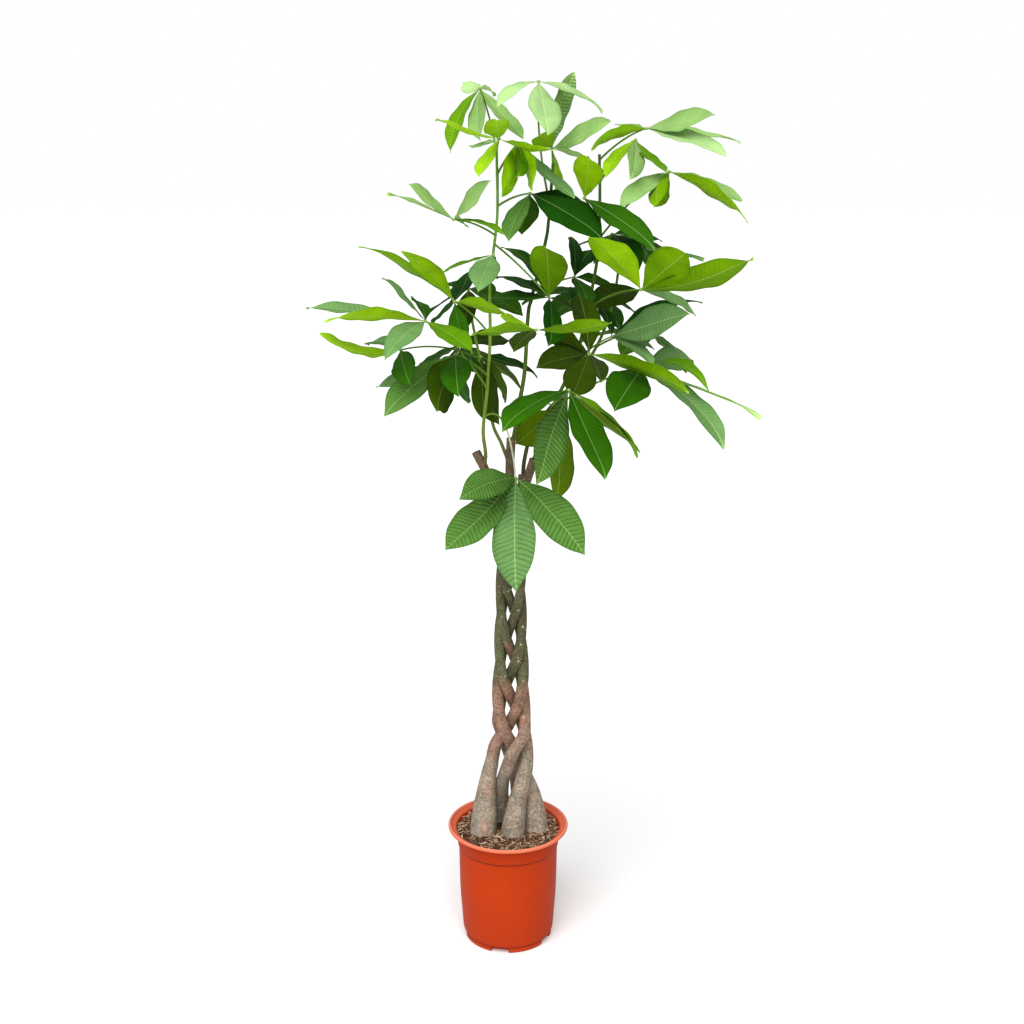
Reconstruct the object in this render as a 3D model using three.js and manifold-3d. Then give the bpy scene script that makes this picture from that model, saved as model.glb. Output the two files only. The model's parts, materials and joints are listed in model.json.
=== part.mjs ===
// Potted money tree: a nursery pot of potting mix with five plaited stems, five green shoots
// and palmate compound leaves. Millimetres, +Z up, origin on the floor under the pot's axis.
import * as THREE from 'three';
import { mergeVertices } from 'three/addons/utils/BufferGeometryUtils.js';
import Module from 'manifold-3d';

// Driving dimensions of the pot
const POT_HEIGHT = 248;
const RIM_RADIUS = 122;
const RIM_MOUTH_RADIUS = 116.5;
const LIP_DEPTH = 9;
const COLLAR_TOP_RADIUS = 105.5;
const COLLAR_BOTTOM_RADIUS = 102.8;
const STEP_HEIGHT = 204;
const BODY_TOP_RADIUS = 100.5;
const BODY_LOW_RADIUS = 99;
const BODY_LOW_HEIGHT = 105;
const BODY_FOOT_RADIUS = 93;
const CORNER_HEIGHT = 20;
const FOOT_RADIUS = 89.5;
const FOOT_HEIGHT = 11;
const POT_WALL = 2.6;
const POT_FLOOR = 14;
const POT_SEGMENTS = 32;
const NOTCH_COUNT = 5;
const NOTCH_WIDTH = 36;
const NOTCH_HEIGHT = 11;
const NOTCH_REACH = 75;
const NOTCH_LENGTH = 40;
const NOTCH_FRONT_ANGLE = -101;
const DRAIN_RADIUS = 6;
const DRAIN_CIRCLE = 52;

// Driving dimensions of the potting mix
const SOIL_LEVEL = 237;
const SOIL_MOUND = 4;
const SOIL_SEGMENTS = 24;
const SOIL_CLEARANCE = 0.6;

// Driving dimensions of the plait
const STEM_FOOT = 160;
const PLAIT_AXIS_X = 6;
const PLAIT_PITCH = 500;
const PLAIT_TOP = 925;
const PLAIT_STEP = 30;
const PLAIT_DEPTH_RATIO = 0.88;
const PLAIT_HALF_WIDTH = [
  [350, 36], [400, 33], [475, 28.5], [540, 26.5], [620, 24], [730, 21.5], [1000, 20.5],
];
const STEM_SIDES = 8;

// Driving dimensions of shoots and leaves
const SHOOT_SIDES = 6;
const SHOOT_STEPS = 9;
const STALK_FOOT_RADIUS = 2.1;
const STALK_TIP_RADIUS = 1.6;
const STALK_SIDES = 5;
const STALK_STEPS = 3;
const STALK_RISE = 0.14;
const HUB_RADIUS = 4.5;
const BLADE_THICKNESS = 0.9;
const BLADE_STATIONS = [0, 0.25, 0.52, 0.8, 1];
const BACK_BLADE_STATIONS = [0, 0.35, 0.72, 1];
const BLADE_START = 1.5;
const BLADE_BASE_HALF_WIDTH = 1.6;
const BLADE_ARCH = 0.035;
const BLADE_FOLD = 14;
const BLADE_WAVE = 0.02;
const WAVE_RATE = 9;
const WIDEST_SHIFT = 1.2;
const OUTER_ROUNDNESS = 0.35;
const WHORL_DROOP = 22;
const WHORL_LEAN = 0.35;
const CROWN_AXIS_X = 20;
const GAP = 0.3;
const SLIVER = 0.03;

const wasm = await Module();
wasm.setup();

const COLOURS = {
  pot: '#c9501f', soil: '#3a2417', bark: '#8f8171', shoot: '#6f9a2c',
  young: '#8dbb17', pale: '#8fbd76', mid: '#4f8f22', dark: '#1f5c1a', olive: '#5c7014',
};

// A closed three.js geometry as a solid, turned the right way out if it is inside out
function solid(geometry) {
  const bare = geometry.index ? geometry.clone() : geometry;
  bare.deleteAttribute('normal');
  bare.deleteAttribute('uv');
  const welded = mergeVertices(bare, 1e-3);
  const triVerts = Uint32Array.from(welded.index.array);
  const vertProperties = Float32Array.from(welded.attributes.position.array);
  const body = new wasm.Manifold(new wasm.Mesh({ numProp: 3, vertProperties, triVerts }));
  if (body.volume() > 0) return body;
  for (let i = 0; i < triVerts.length; i += 3) {
    const swap = triVerts[i];
    triVerts[i] = triVerts[i + 1];
    triVerts[i + 1] = swap;
  }
  return new wasm.Manifold(new wasm.Mesh({ numProp: 3, vertProperties, triVerts }));
}

// A solid back as a named mesh with its own material, slivers left by the joins taken out
function mesh(name, body, colour, roughness) {
  const { vertProperties, triVerts } = body.asOriginal().simplify(SLIVER).getMesh();
  const geometry = new THREE.BufferGeometry();
  geometry.setAttribute('position', new THREE.BufferAttribute(Float32Array.from(vertProperties), 3));
  geometry.setIndex(new THREE.BufferAttribute(Uint32Array.from(triVerts), 1));
  geometry.computeVertexNormals();
  const material = new THREE.MeshStandardMaterial({ color: colour, roughness, metalness: 0 });
  const piece = new THREE.Mesh(geometry, material);
  piece.name = name;
  return piece;
}

// Straight-line interpolation in a list of [place, value] pairs
function between(pairs, at) {
  if (at <= pairs[0][0]) return pairs[0][1];
  for (let i = 1; i < pairs.length; i++) {
    const [a, va] = pairs[i - 1];
    const [b, vb] = pairs[i];
    if (at <= b) return va + (vb - va) * (at - a) / (b - a);
  }
  return pairs[pairs.length - 1][1];
}

// A smooth curve through hand-chosen points
function route(points) {
  return new THREE.CatmullRomCurve3(points.map((p) => new THREE.Vector3(...p)), false, 'catmullrom', 0.5);
}

// A closed cylinder bent along a curve, its radius a function of the place on the curve
function bentStem(curve, steps, sides, radiusAt, gap = 0) {
  const geometry = new THREE.CylinderGeometry(1, 1, 1, sides, steps);
  const frames = curve.computeFrenetFrames(steps);
  const spine = curve.getSpacedPoints(steps);
  const position = geometry.attributes.position;
  const point = new THREE.Vector3();
  for (let i = 0; i < position.count; i++) {
    const station = Math.round((position.getY(i) + 0.5) * steps);
    const radius = radiusAt(spine[station], station / steps) + gap;
    point.copy(spine[station]);
    point.addScaledVector(frames.normals[station], position.getX(i) * radius);
    point.addScaledVector(frames.binormals[station], position.getZ(i) * radius);
    if (station === 0) point.addScaledVector(frames.tangents[0], -gap);
    if (station === steps) point.addScaledVector(frames.tangents[steps], gap);
    position.setXYZ(i, point.x, point.y, point.z);
  }
  return solid(geometry);
}

// The pot, turned from one profile, with notches in its foot and drain holes in its floor
function buildPot() {
  const profile = [
    [0, 0], [FOOT_RADIUS - 3, 0], [FOOT_RADIUS, 2], [FOOT_RADIUS + 0.8, FOOT_HEIGHT - 1],
    [FOOT_RADIUS, FOOT_HEIGHT + 0.5], [FOOT_RADIUS + 2, FOOT_HEIGHT + 4], [BODY_FOOT_RADIUS, CORNER_HEIGHT],
    [BODY_LOW_RADIUS, BODY_LOW_HEIGHT], [BODY_TOP_RADIUS, STEP_HEIGHT - 1],
    [COLLAR_BOTTOM_RADIUS, STEP_HEIGHT + 1.5],
    [COLLAR_TOP_RADIUS, POT_HEIGHT - LIP_DEPTH], [RIM_RADIUS - 3.5, POT_HEIGHT - LIP_DEPTH + 0.5],
    [RIM_RADIUS - 0.8, POT_HEIGHT - LIP_DEPTH + 2], [RIM_RADIUS, POT_HEIGHT - 4.5],
    [RIM_RADIUS - 1.2, POT_HEIGHT - 1.2], [RIM_RADIUS - 3, POT_HEIGHT], [RIM_MOUTH_RADIUS, POT_HEIGHT - 1],
    [RIM_MOUTH_RADIUS - 1.5, POT_HEIGHT - LIP_DEPTH + 3], [COLLAR_TOP_RADIUS + 1, POT_HEIGHT - LIP_DEPTH + 2],
    [COLLAR_TOP_RADIUS - POT_WALL, POT_HEIGHT - LIP_DEPTH - 4],
    [BODY_TOP_RADIUS - POT_WALL, STEP_HEIGHT], [BODY_LOW_RADIUS - POT_WALL, BODY_LOW_HEIGHT],
    [BODY_FOOT_RADIUS - POT_WALL, CORNER_HEIGHT],
    [FOOT_RADIUS - 6, POT_FLOOR], [0, POT_FLOOR],
  ].map(([r, z]) => new THREE.Vector2(r, z));
  let body = solid(new THREE.LatheGeometry(profile, POT_SEGMENTS).rotateX(Math.PI / 2));
  for (let i = 0; i < NOTCH_COUNT; i++) {
    const angle = THREE.MathUtils.degToRad(NOTCH_FRONT_ANGLE + 360 / NOTCH_COUNT * i);
    const notch = new THREE.BoxGeometry(NOTCH_LENGTH, NOTCH_WIDTH, 2 * NOTCH_HEIGHT);
    notch.translate(NOTCH_REACH + 0.5 * NOTCH_LENGTH, 0, 0).rotateZ(angle);
    const drain = new THREE.CylinderGeometry(DRAIN_RADIUS, DRAIN_RADIUS, 4 * POT_FLOOR, 12);
    drain.rotateX(Math.PI / 2).translate(DRAIN_CIRCLE, 0, 0).rotateZ(angle);
    body = body.subtract(solid(notch)).subtract(solid(drain));
  }
  return body;
}

// The five stems, front to back and left to right: where the stem touches the plait's right edge,
// its way up from the soil, its cut end above the plait, and its radius at the soil
const STEMS = [
  { name: 'trunk_front', rightEdge: 397, footRadius: 22,
    low: [[8, -34, 160], [10, -32, 238], [17, -29, 295], [28, -21, 345], [37, -9, 385]],
    top: [[27, 13, 932], [29, 24, 972]] },
  { name: 'trunk_back_left', rightEdge: 497, footRadius: 18,
    low: [[-16, 38, 160], [-17, 36, 238], [-17, 22, 295], [-10, 1, 342], [0, -17, 380], [11, -25, 415]],
    top: [[33, -18, 960], [49, -20, 1012]] },
  { name: 'trunk_left', rightEdge: 597, footRadius: 25,
    low: [[-53, -28, 160], [-51, -25, 238], [-45, -14, 305], [-40, -3, 347], [-32, 8, 385], [-24, 14, 415]],
    top: [[-7, 21, 935], [-3, 26, 972]] },
  { name: 'trunk_back_right', rightEdge: 697, footRadius: 18,
    low: [[22, 46, 160], [24, 43, 238], [22, 44, 305], [8, 46, 360], [-10, 42, 420], [-20, 37, 455]],
    top: [[-30, -10, 960], [-60, -12, 1024]] },
  { name: 'trunk_right', rightEdge: 297, footRadius: 23,
    low: [[59, -12, 160], [57, -10, 238], [46, 4, 305], [32, 16, 347], [20, 23, 380]],
    top: [[4, -6, 980], [6, -8, 1050]] },
];

// In the plait a stem swings once across and twice to and fro in every pitch
function plaitPoint(height, rightEdge) {
  const swing = 2 * Math.PI * (height - rightEdge) / PLAIT_PITCH;
  const halfWidth = between(PLAIT_HALF_WIDTH, height);
  const x = PLAIT_AXIS_X + halfWidth * Math.cos(swing);
  const y = PLAIT_DEPTH_RATIO * halfWidth * Math.sin(2 * swing);
  return [x, y, height];
}

function stemPoints(stem) {
  const points = [...stem.low];
  const clearOfLow = stem.low[stem.low.length - 1][2] + PLAIT_STEP - 3;
  for (let z = PLAIT_STEP * Math.ceil(clearOfLow / PLAIT_STEP); z < PLAIT_TOP; z += PLAIT_STEP) {
    points.push(plaitPoint(z, stem.rightEdge));
  }
  return [...points, ...stem.top];
}

// A stem swells towards the soil and thins slowly above the first crossing
function stemRadius(stem, height) {
  const foot = stem.footRadius;
  return between([
    [STEM_FOOT, 0.9 * foot], [240, foot], [272, 0.93 * foot], [310, 4 + 0.62 * foot], [350, 3 + 0.5 * foot],
    [387, 12.6], [440, 11.4], [540, 10.4], [610, 9.45], [640, 9.2], [740, 8.3], [1000, 8],
  ], height);
}

function buildStem(stem, gap = 0) {
  const points = stemPoints(stem);
  return bentStem(route(points), points.length - 1, STEM_SIDES, (p) => stemRadius(stem, p.z), gap);
}

// Green shoots, each from the cut end of a stem: its points and its radius at foot and tip
const SHOOTS = [
  { name: 'shoot_1', stem: 'trunk_back_right', radii: [3.6, 2.4],
    points: [[-44, -12, 997], [-42, -16, 1024], [-46, -25, 1069], [-38, -40, 1148], [-32, -50, 1242],
      [-32, -55, 1333], [-26, -60, 1396], [-18, -60, 1470], [-19, -60, 1575]] },
  { name: 'shoot_2', stem: 'trunk_right', radii: [4.4, 2.8],
    points: [[8, -7, 1036], [14, -5, 1066], [23, 0, 1122], [32, 10, 1177], [38, 15, 1279],
      [45, 15, 1313], [69, 10, 1412], [75, 5, 1455], [82, -5, 1555]] },
  { name: 'shoot_3', stem: 'trunk_back_left', radii: [4.2, 2.6],
    points: [[46, -19, 1000], [56, -15, 1030], [68, 0, 1074], [98, 20, 1131], [127, 30, 1193],
      [142, 32, 1249], [157, 30, 1324], [167, 20, 1398], [168, 10, 1489], [166, 10, 1570]] },
  { name: 'shoot_4', stem: 'trunk_left', radii: [3.8, 2.6],
    points: [[-5, 24, 957], [1, 28, 990], [-12, 32, 1030], [-28, 36, 1065], [-36, 46, 1115],
      [-53, 70, 1186], [-69, 90, 1261]] },
  { name: 'shoot_5', stem: 'trunk_front', radii: [4.2, 2.6],
    points: [[29, 22, 960], [32, 29, 1000], [46, 42, 1048], [78, 66, 1090], [131, 110, 1140],
      [181, 150, 1214], [208, 176, 1289], [221, 200, 1365]] },
];

function buildShoot(shoot, gap = 0) {
  const [foot, tip] = shoot.radii;
  const radiusAt = (p, share) => foot + (tip - foot) * share;
  return bentStem(route(shoot.points), SHOOT_STEPS, SHOOT_SIDES, radiusAt, gap);
}

// Leaves. Each grows on a shoot at the height given by "from" and ends in a hub. A leaflet is the
// place of its tip from the hub, its width, its turn about its own rib in degrees, and, where it
// isn't the usual one, the height of its arch as a share of its length.
const LEAVES = [
  { shoot: 0, from: 1500, hub: [-50, 45, 1685], tone: 'pale', bend: [20, 40, 0], leaflets: [
    [-35, 80, 15, 35, -10, -0.12], [-55, -50, -110, 45, -35, 0.1], [0, -85, -90, 45, 5],
    [80, -50, -85, 50, 10, -0.03], [25, 85, -10, 25, 65, 0.06]] },
  { shoot: 0, from: 1575, hub: [-15, -60, 1597], tone: 'young', leaflets: [
    [-5, -145, 35, 47, 0, -0.02], [-35, -95, -60, 40, 15, 0], [-105, -75, 35, 35, -10, -0.05],
    [-55, 80, -10, 35, 5, -0.06], [95, -95, -15, 40, -50, -0.06]] },
  { shoot: 0, from: 1535, hub: [20, -20, 1590], tone: 'young', leaflets: [
    [-35, -115, -90, 55, 105, -0.06], [0, -110, -55, 40, -60], [25, -100, -80, 50, -100],
    [100, -65, -90, 50, -20, -0.06]] },
  { shoot: 1, from: 1480, hub: [55, -10, 1695], tone: 'pale', bend: [-15, 30, 0], leaflets: [
    [15, -125, -90, 62, 10, 0], [-75, -60, -45, 35, 15, 0.11], [120, 65, -48, 45, 10, 0.05]] },
  { shoot: 1, from: 1553, hub: [80, 0, 1580], tone: 'young', leaflets: [
    [45, 65, 135, 60, 35, -0.08], [-25, -80, 25, 45, 60], [95, -90, 50, 50, 80, -0.02],
    [90, 85, -35, 45, 10], [10, 65, -90, 40, 20]] },
  { shoot: 2, from: 1560, hub: [250, 20, 1615], tone: 'pale', leaflets: [
    [110, -90, 25, 55, 65, -0.02], [180, 40, -20, 60, 10, 0], [130, -110, -40, 60, 35, 0.02],
    [-105, -80, -35, 50, 55, 0.06], [-50, 85, 10, 35, -30, -0.02]] },
  { shoot: 2, from: 1520, hub: [230, 0, 1595], tone: 'pale', leaflets: [
    [-60, -85, -60, 40, 35, 0.05], [-15, -110, -65, 40, -10], [50, -85, -50, 40, 15, -0.07],
    [-25, 100, -35, 35, -60]] },
  { shoot: 2, from: 1420, hub: [290, -20, 1540], tone: 'young', leaflets: [
    [-95, -90, -55, 45, 5], [-30, -100, -60, 45, -115, -0.12], [-15, 90, -65, 40, 30, 0],
    [145, 60, -50, 55, 20, 0], [130, -110, -80, 70, -20, 0.04]] },
  { shoot: 0, from: 1430, hub: [-95, -90, 1460], tone: 'pale', leaflets: [
    [65, -55, 70, 40, 35, 0], [-70, -75, 65, 40, -60, -0.02], [-120, 60, 45, 40, 35, 0],
    [90, -50, -20, 30, -20, 0.06], [20, 75, -15, 30, 60]] },
  { shoot: 2, from: 1430, hub: [135, -80, 1496], tone: 'dark', leaflets: [
    [0, -130, 75, 55, 10], [15, 105, 70, 45, 50], [115, -120, -75, 60, 25, 0.03],
    [125, 105, -100, 60, -15], [120, 80, -55, 40, 15, -0.03]] },
  { shoot: 0, from: 1480, hub: [40, -50, 1503], tone: 'dark', leaflets: [
    [-40, -85, -75, 50, 30], [-15, 75, -75, 55, -10], [125, -95, -70, 80, 15],
    [115, 50, -42, 60, 25, 0.01]] },
  { shoot: 0, from: 1385, hub: [-25, -110, 1400], tone: 'mid', leaflets: [
    [-25, -105, -50, 55, -10], [-100, 55, -38, 40, 15, 0.015], [5, 40, -45, 40, -50]] },
  { shoot: 0, from: 1415, hub: [75, -60, 1320], tone: 'mid', bend: [0, 0, 10], leaflets: [
    [-10, -135, 105, 70, 20], [-85, 110, 85, 52, 10, 0.09], [-120, 110, -10, 55, -15, -0.02],
    [0, -110, -70, 60, -30], [60, 80, -45, 45, 0], [-95, 115, 28, 56, 0]] },
  { shoot: 1, from: 1310, hub: [125, 60, 1345], tone: 'dark', leaflets: [
    [0, 110, 70, 45, 15], [40, 120, 45, 50, -25], [85, 95, -30, 40, 30], [20, -135, -35, 50, 5]] },
  { shoot: 2, from: 1385, hub: [195, 60, 1425], tone: 'dark', leaflets: [
    [40, -135, -50, 55, 45], [105, 90, -18, 55, 15], [180, 35, -45, 65, 10, -0.07],
    [0, 110, -60, 40, -105]] },
  { shoot: 2, from: 1290, hub: [240, -70, 1335], tone: 'young', leaflets: [
    [-100, -95, 105, 75, 40], [65, -135, 80, 75, -20, 0], [180, -110, 70, 75, -25, -0.08],
    [-85, 120, -40, 60, 25], [115, 90, -55, 55, 10]] },
  { shoot: 2, from: 1185, hub: [195, 10, 1240], tone: 'dark', leaflets: [
    [125, -130, 60, 70, 85, 0], [175, 70, 60, 65, -5, 0.08], [70, -105, -35, 45, 20],
    [90, 85, -35, 45, 10], [-20, 115, 55, 40, 0]] },
  { shoot: 2, from: 1100, hub: [250, 0, 1180], tone: 'mid', leaflets: [
    [110, 100, 5, 60, 25, 0.08], [115, -95, -20, 50, 20, 0.2], [215, -85, -70, 40, 0, 0.01],
    [142, -145, -115, 75, 15, 0.08], [-60, -160, -45, 85, 5]] },
  { shoot: 2, from: 1150, hub: [150, -40, 1215], tone: 'olive', leaflets: [
    [175, -100, -50, 70, -35, 0.03], [-95, 80, -36, 60, 40], [-30, 5, -80, 65, 50],
    [30, 115, -70, 45, -25], [-25, -110, 125, 60, 20], [-80, 80, 25, 55, 60]] },
  { shoot: 1, from: 1215, hub: [50, -160, 1275], tone: 'young', leaflets: [
    [-110, -105, 10, 55, 50, 0], [125, -100, 30, 55, -45, -0.06], [-60, 105, 15, 45, 65, -0.08],
    [-40, 100, -50, 45, 15]] },
  { shoot: 0, from: 1250, hub: [-95, -80, 1315], tone: 'mid', leaflets: [
    [-175, 90, 95, 45, 65], [-85, -105, 101, 47, 0, 0.045], [25, 120, 45, 55, -5, -0.02],
    [-45, 105, -40, 55, -15, -0.05], [95, -90, -10, 45, -70, 0.02], [20, -25, -80, 50, 20]] },
  { shoot: 0, from: 1150, hub: [-145, -120, 1285], tone: 'young', leaflets: [
    [-165, -110, 18, 65, 25, 0.03], [-215, 35, 25, 70, 15, 0], [-65, -75, 85, 40, -55, 0],
    [-30, 100, 30, 40, 55, 0.07], [-62, -130, -45, 50, -30, 0.08], [85, -90, -40, 55, -20, 0.03]] },
  { shoot: 3, from: 1190, hub: [-195, -60, 1225], tone: 'mid', leaflets: [
    [-135, -75, 45, 65, -25, -0.14], [-70, 95, -2, 60, 15, 0.08], [25, -130, -40, 50, 10]] },
  { shoot: 0, from: 1175, hub: [-95, -50, 1215], tone: 'dark', leaflets: [
    [-125, -105, -90, 70, -30, 0.04], [-155, 50, -65, 50, -10, -0.05], [-30, -140, -80, 80, 95],
    [10, -160, -45, 60, -10], [-25, 85, -36, 40, 25], [20, 70, -105, 50, -100]] },
  { shoot: 3, from: 1160, hub: [-50, -10, 1205], tone: 'olive', leaflets: [
    [50, -115, -65, 50, -110], [30, 35, -135, 70, 5], [5, -5, -120, 45, -80], [110, 115, -55, 60, 45]] },
  { shoot: 4, from: 1085, hub: [95, 25, 1102], tone: 'olive', leaflets: [
    [5, 90, -205, 70, 0, 0.03], [-80, 0, -71, 70, -115], [-55, 50, 5, 40, 0]] },
  { shoot: 2, from: 1100, hub: [110, -110, 1160], tone: 'mid', leaflets: [
    [-120, -125, -45, 80, 25, 0.06], [-55, -120, -145, 75, -30, -0.05], [64, -125, -130, 82, -5, -0.01],
    [135, 40, -130, 60, -10, 0.05], [140, 70, -125, 50, -40, -0.03]] },
  { shoot: 0, from: 1095, hub: [15, -100, 995], tone: 'mid', bend: [15, 0, 90], leaflets: [
    [-100, -90, -15, 65, -20, 0.11], [-129, -90, -110, 80, -5, -0.06], [0, -125, -180, 84, 15],
    [125, -85, -120, 78, 15, 0.08]] },
  { shoot: 4, from: 1345, hub: [255, 235, 1405], tone: 'mid', whorl: [5, 130, 60, 50] },
  { shoot: 4, from: 1230, hub: [160, 280, 1300], tone: 'dark', whorl: [5, 140, 60, 45] },
  { shoot: 4, from: 1200, hub: [280, 190, 1225], tone: 'mid', whorl: [5, 135, 60, 30] },
  { shoot: 3, from: 1250, hub: [-75, 90, 1320], tone: 'mid', leaflets: [
    [105, 60, -55, 55, 0], [0, -105, -60, 50, 0], [-80, -80, -45, 50, 0], [50, 90, -15, 40, 0],
    [-60, 90, 0, 50, 0]] },
  { shoot: 3, from: 1180, hub: [-90, 120, 1210], tone: 'dark', leaflets: [
    [95, 70, 0, 60, 50], [30, 80, -70, 55, 0], [-40, -95, -65, 55, 0], [-90, 50, -65, 55, 0],
    [120, 10, -90, 60, 10]] },
];

// The outward level direction from the crown's axis
function outward(hub) {
  const away = new THREE.Vector3(hub.x - CROWN_AXIS_X, hub.y, 0);
  return away.length() > 30 ? away.normalize() : new THREE.Vector3(0, -1, 0);
}

// Leaflets spread evenly round a hub: their count, length, width and first angle
function whorl(hub, [count, reach, width, start]) {
  const axis = outward(hub).multiplyScalar(WHORL_LEAN).add(new THREE.Vector3(0, 0, 1)).normalize();
  const first = new THREE.Vector3(0, 1, 0).cross(axis).normalize();
  const droop = THREE.MathUtils.degToRad(WHORL_DROOP);
  const leaflets = [];
  for (let i = 0; i < count; i++) {
    const around = first.clone().applyAxisAngle(axis, THREE.MathUtils.degToRad(start + 360 / count * i));
    const tip = around.multiplyScalar(Math.cos(droop)).addScaledVector(axis, -Math.sin(droop));
    leaflets.push([...tip.multiplyScalar(reach).toArray(), width, 0]);
  }
  return leaflets;
}

// A leaflet narrows to its stalk, is widest past its middle and keeps a rounder outer end
function bladeHalfWidth(share, width) {
  const swell = Math.sin(Math.PI * Math.pow(share, WIDEST_SHIFT));
  return 0.5 * width * Math.pow(swell, 1 - OUTER_ROUNDNESS * share);
}

// One closed blade: arched along its rib, folded up to both edges, with the edges waved,
// and split into triangles alike on both faces
function buildBlade(hub, [dx, dy, dz, width, turn, arch = BLADE_ARCH], order, stations) {
  const along = new THREE.Vector3(dx, dy, dz);
  const length = along.length();
  along.normalize();
  const up = outward(hub).multiplyScalar(0.5).add(new THREE.Vector3(0, 0, 1));
  const face = up.addScaledVector(along, -up.dot(along)).normalize();
  face.applyAxisAngle(along, THREE.MathUtils.degToRad(turn));
  const side = new THREE.Vector3().crossVectors(along, face);
  const fold = THREE.MathUtils.degToRad(BLADE_FOLD);
  const upper = [];
  const lower = [];
  stations.forEach((share, row) => {
    const half = row === 0 ? BLADE_BASE_HALF_WIDTH : bladeHalfWidth(share, width);
    const reach = BLADE_START + (length - BLADE_START) * share;
    const rise = 4 * arch * length * share * (1 - share);
    const rib = hub.clone().addScaledVector(along, reach).addScaledVector(face, rise);
    const columns = share === 1 ? [0] : [-1, 0, 1];
    for (const column of columns) {
      const wave = column * BLADE_WAVE * length * share * Math.sin(WAVE_RATE * share + order);
      const lift = Math.abs(column) * half * Math.sin(fold) + wave;
      const point = rib.clone().addScaledVector(face, lift);
      point.addScaledVector(side, column * half * Math.cos(fold));
      upper.push(point.clone().addScaledVector(face, BLADE_THICKNESS / 2));
      lower.push(point.clone().addScaledVector(face, -BLADE_THICKNESS / 2));
    }
  });
  const count = upper.length;
  const tip = count - 1;
  const triangles = [];
  const quad = (a, b, c, d) => triangles.push(a, b, c, a, c, d);
  for (let row = 0; row + 1 < stations.length; row++) {
    const a = 3 * row;
    const b = a + 3;
    const last = b === tip;
    for (const column of [0, 1]) {
      const near = a + column;
      const far = last ? tip : b + column;
      if (last) {
        triangles.push(near, near + 1, tip, count + near + 1, count + near, count + tip);
      } else {
        quad(near, near + 1, far + 1, far);
        triangles.push(count + near, count + far + 1, count + near + 1);
        triangles.push(count + near, count + far, count + far + 1);
      }
    }
    const leftFar = last ? tip : b;
    const rightFar = last ? tip : b + 2;
    quad(a, leftFar, count + leftFar, count + a);
    quad(rightFar, a + 2, count + a + 2, count + rightFar);
  }
  quad(1, 0, count, count + 1);
  quad(2, 1, count + 1, count + 2);
  const geometry = new THREE.BufferGeometry();
  const places = [...upper, ...lower].flatMap((p) => p.toArray());
  geometry.setAttribute('position', new THREE.Float32BufferAttribute(places, 3));
  geometry.setIndex(triangles);
  return solid(geometry);
}

// The place on a shoot's axis at a height
function shootPoint(shoot, height) {
  const samples = route(shoot.points).getPoints(200);
  const above = samples.findIndex((p) => p.z >= height);
  return samples[above < 0 ? samples.length - 1 : above];
}

// A leaf: its stalk, the knob at its hub and its leaflets, fused
function buildLeaf(leaf) {
  const foot = shootPoint(SHOOTS[leaf.shoot], leaf.from);
  const hub = new THREE.Vector3(...leaf.hub);
  const middle = foot.clone().add(hub).multiplyScalar(0.5);
  const bend = new THREE.Vector3(...(leaf.bend ?? [0, 0, STALK_RISE * foot.distanceTo(hub)]));
  const stalk = new THREE.QuadraticBezierCurve3(foot, middle.add(bend), hub);
  const radiusAt = (p, share) => STALK_FOOT_RADIUS + (STALK_TIP_RADIUS - STALK_FOOT_RADIUS) * share;
  let body = bentStem(stalk, STALK_STEPS, STALK_SIDES, radiusAt);
  body = body.add(solid(new THREE.OctahedronGeometry(HUB_RADIUS).translate(hub.x, hub.y, hub.z)));
  const leaflets = leaf.leaflets ?? whorl(hub, leaf.whorl);
  const stations = leaf.whorl ? BACK_BLADE_STATIONS : BLADE_STATIONS;
  leaflets.forEach((leaflet, order) => {
    body = body.add(buildBlade(hub, leaflet, order, stations));
  });
  return body;
}

const moneyTree = new THREE.Group();
moneyTree.add(mesh('pot', buildPot(), COLOURS.pot, 0.45));

const soilProfile = [
  [0, POT_FLOOR + GAP], [FOOT_RADIUS - 7, POT_FLOOR + GAP],
  [BODY_FOOT_RADIUS - POT_WALL - SOIL_CLEARANCE, CORNER_HEIGHT],
  [BODY_LOW_RADIUS - POT_WALL - SOIL_CLEARANCE, BODY_LOW_HEIGHT],
  [BODY_TOP_RADIUS - POT_WALL - SOIL_CLEARANCE, STEP_HEIGHT],
  [COLLAR_TOP_RADIUS - POT_WALL - SOIL_CLEARANCE, SOIL_LEVEL],
  [80, SOIL_LEVEL + 0.5 * SOIL_MOUND], [40, SOIL_LEVEL + SOIL_MOUND], [0, SOIL_LEVEL + SOIL_MOUND],
].map(([r, z]) => new THREE.Vector2(r, z));
let soil = solid(new THREE.LatheGeometry(soilProfile, SOIL_SEGMENTS).rotateX(Math.PI / 2));
for (const stem of STEMS) soil = soil.subtract(buildStem(stem, GAP));
moneyTree.add(mesh('soil', soil, COLOURS.soil, 0.95));

for (const stem of STEMS) moneyTree.add(mesh(stem.name, buildStem(stem), COLOURS.bark, 0.85));

for (const shoot of SHOOTS) {
  const stem = STEMS.find((each) => each.name === shoot.stem);
  const green = buildShoot(shoot).subtract(buildStem(stem, GAP));
  moneyTree.add(mesh(shoot.name, green, COLOURS.shoot, 0.6));
}

LEAVES.forEach((leaf, index) => {
  const name = `leaf_${String(index + 1).padStart(2, '0')}`;
  const cut = buildLeaf(leaf).subtract(buildShoot(SHOOTS[leaf.shoot], GAP)).decompose();
  const body = cut.reduce((largest, each) => (each.volume() > largest.volume() ? each : largest));
  moneyTree.add(mesh(name, body, COLOURS[leaf.tone], 0.5));
});

export default moneyTree;
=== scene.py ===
"""Potted money tree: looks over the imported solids, in metres. Sizes taken from the solids' source are
in millimetres, as they are there, and are scaled where the points become a mesh."""
import json

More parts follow.
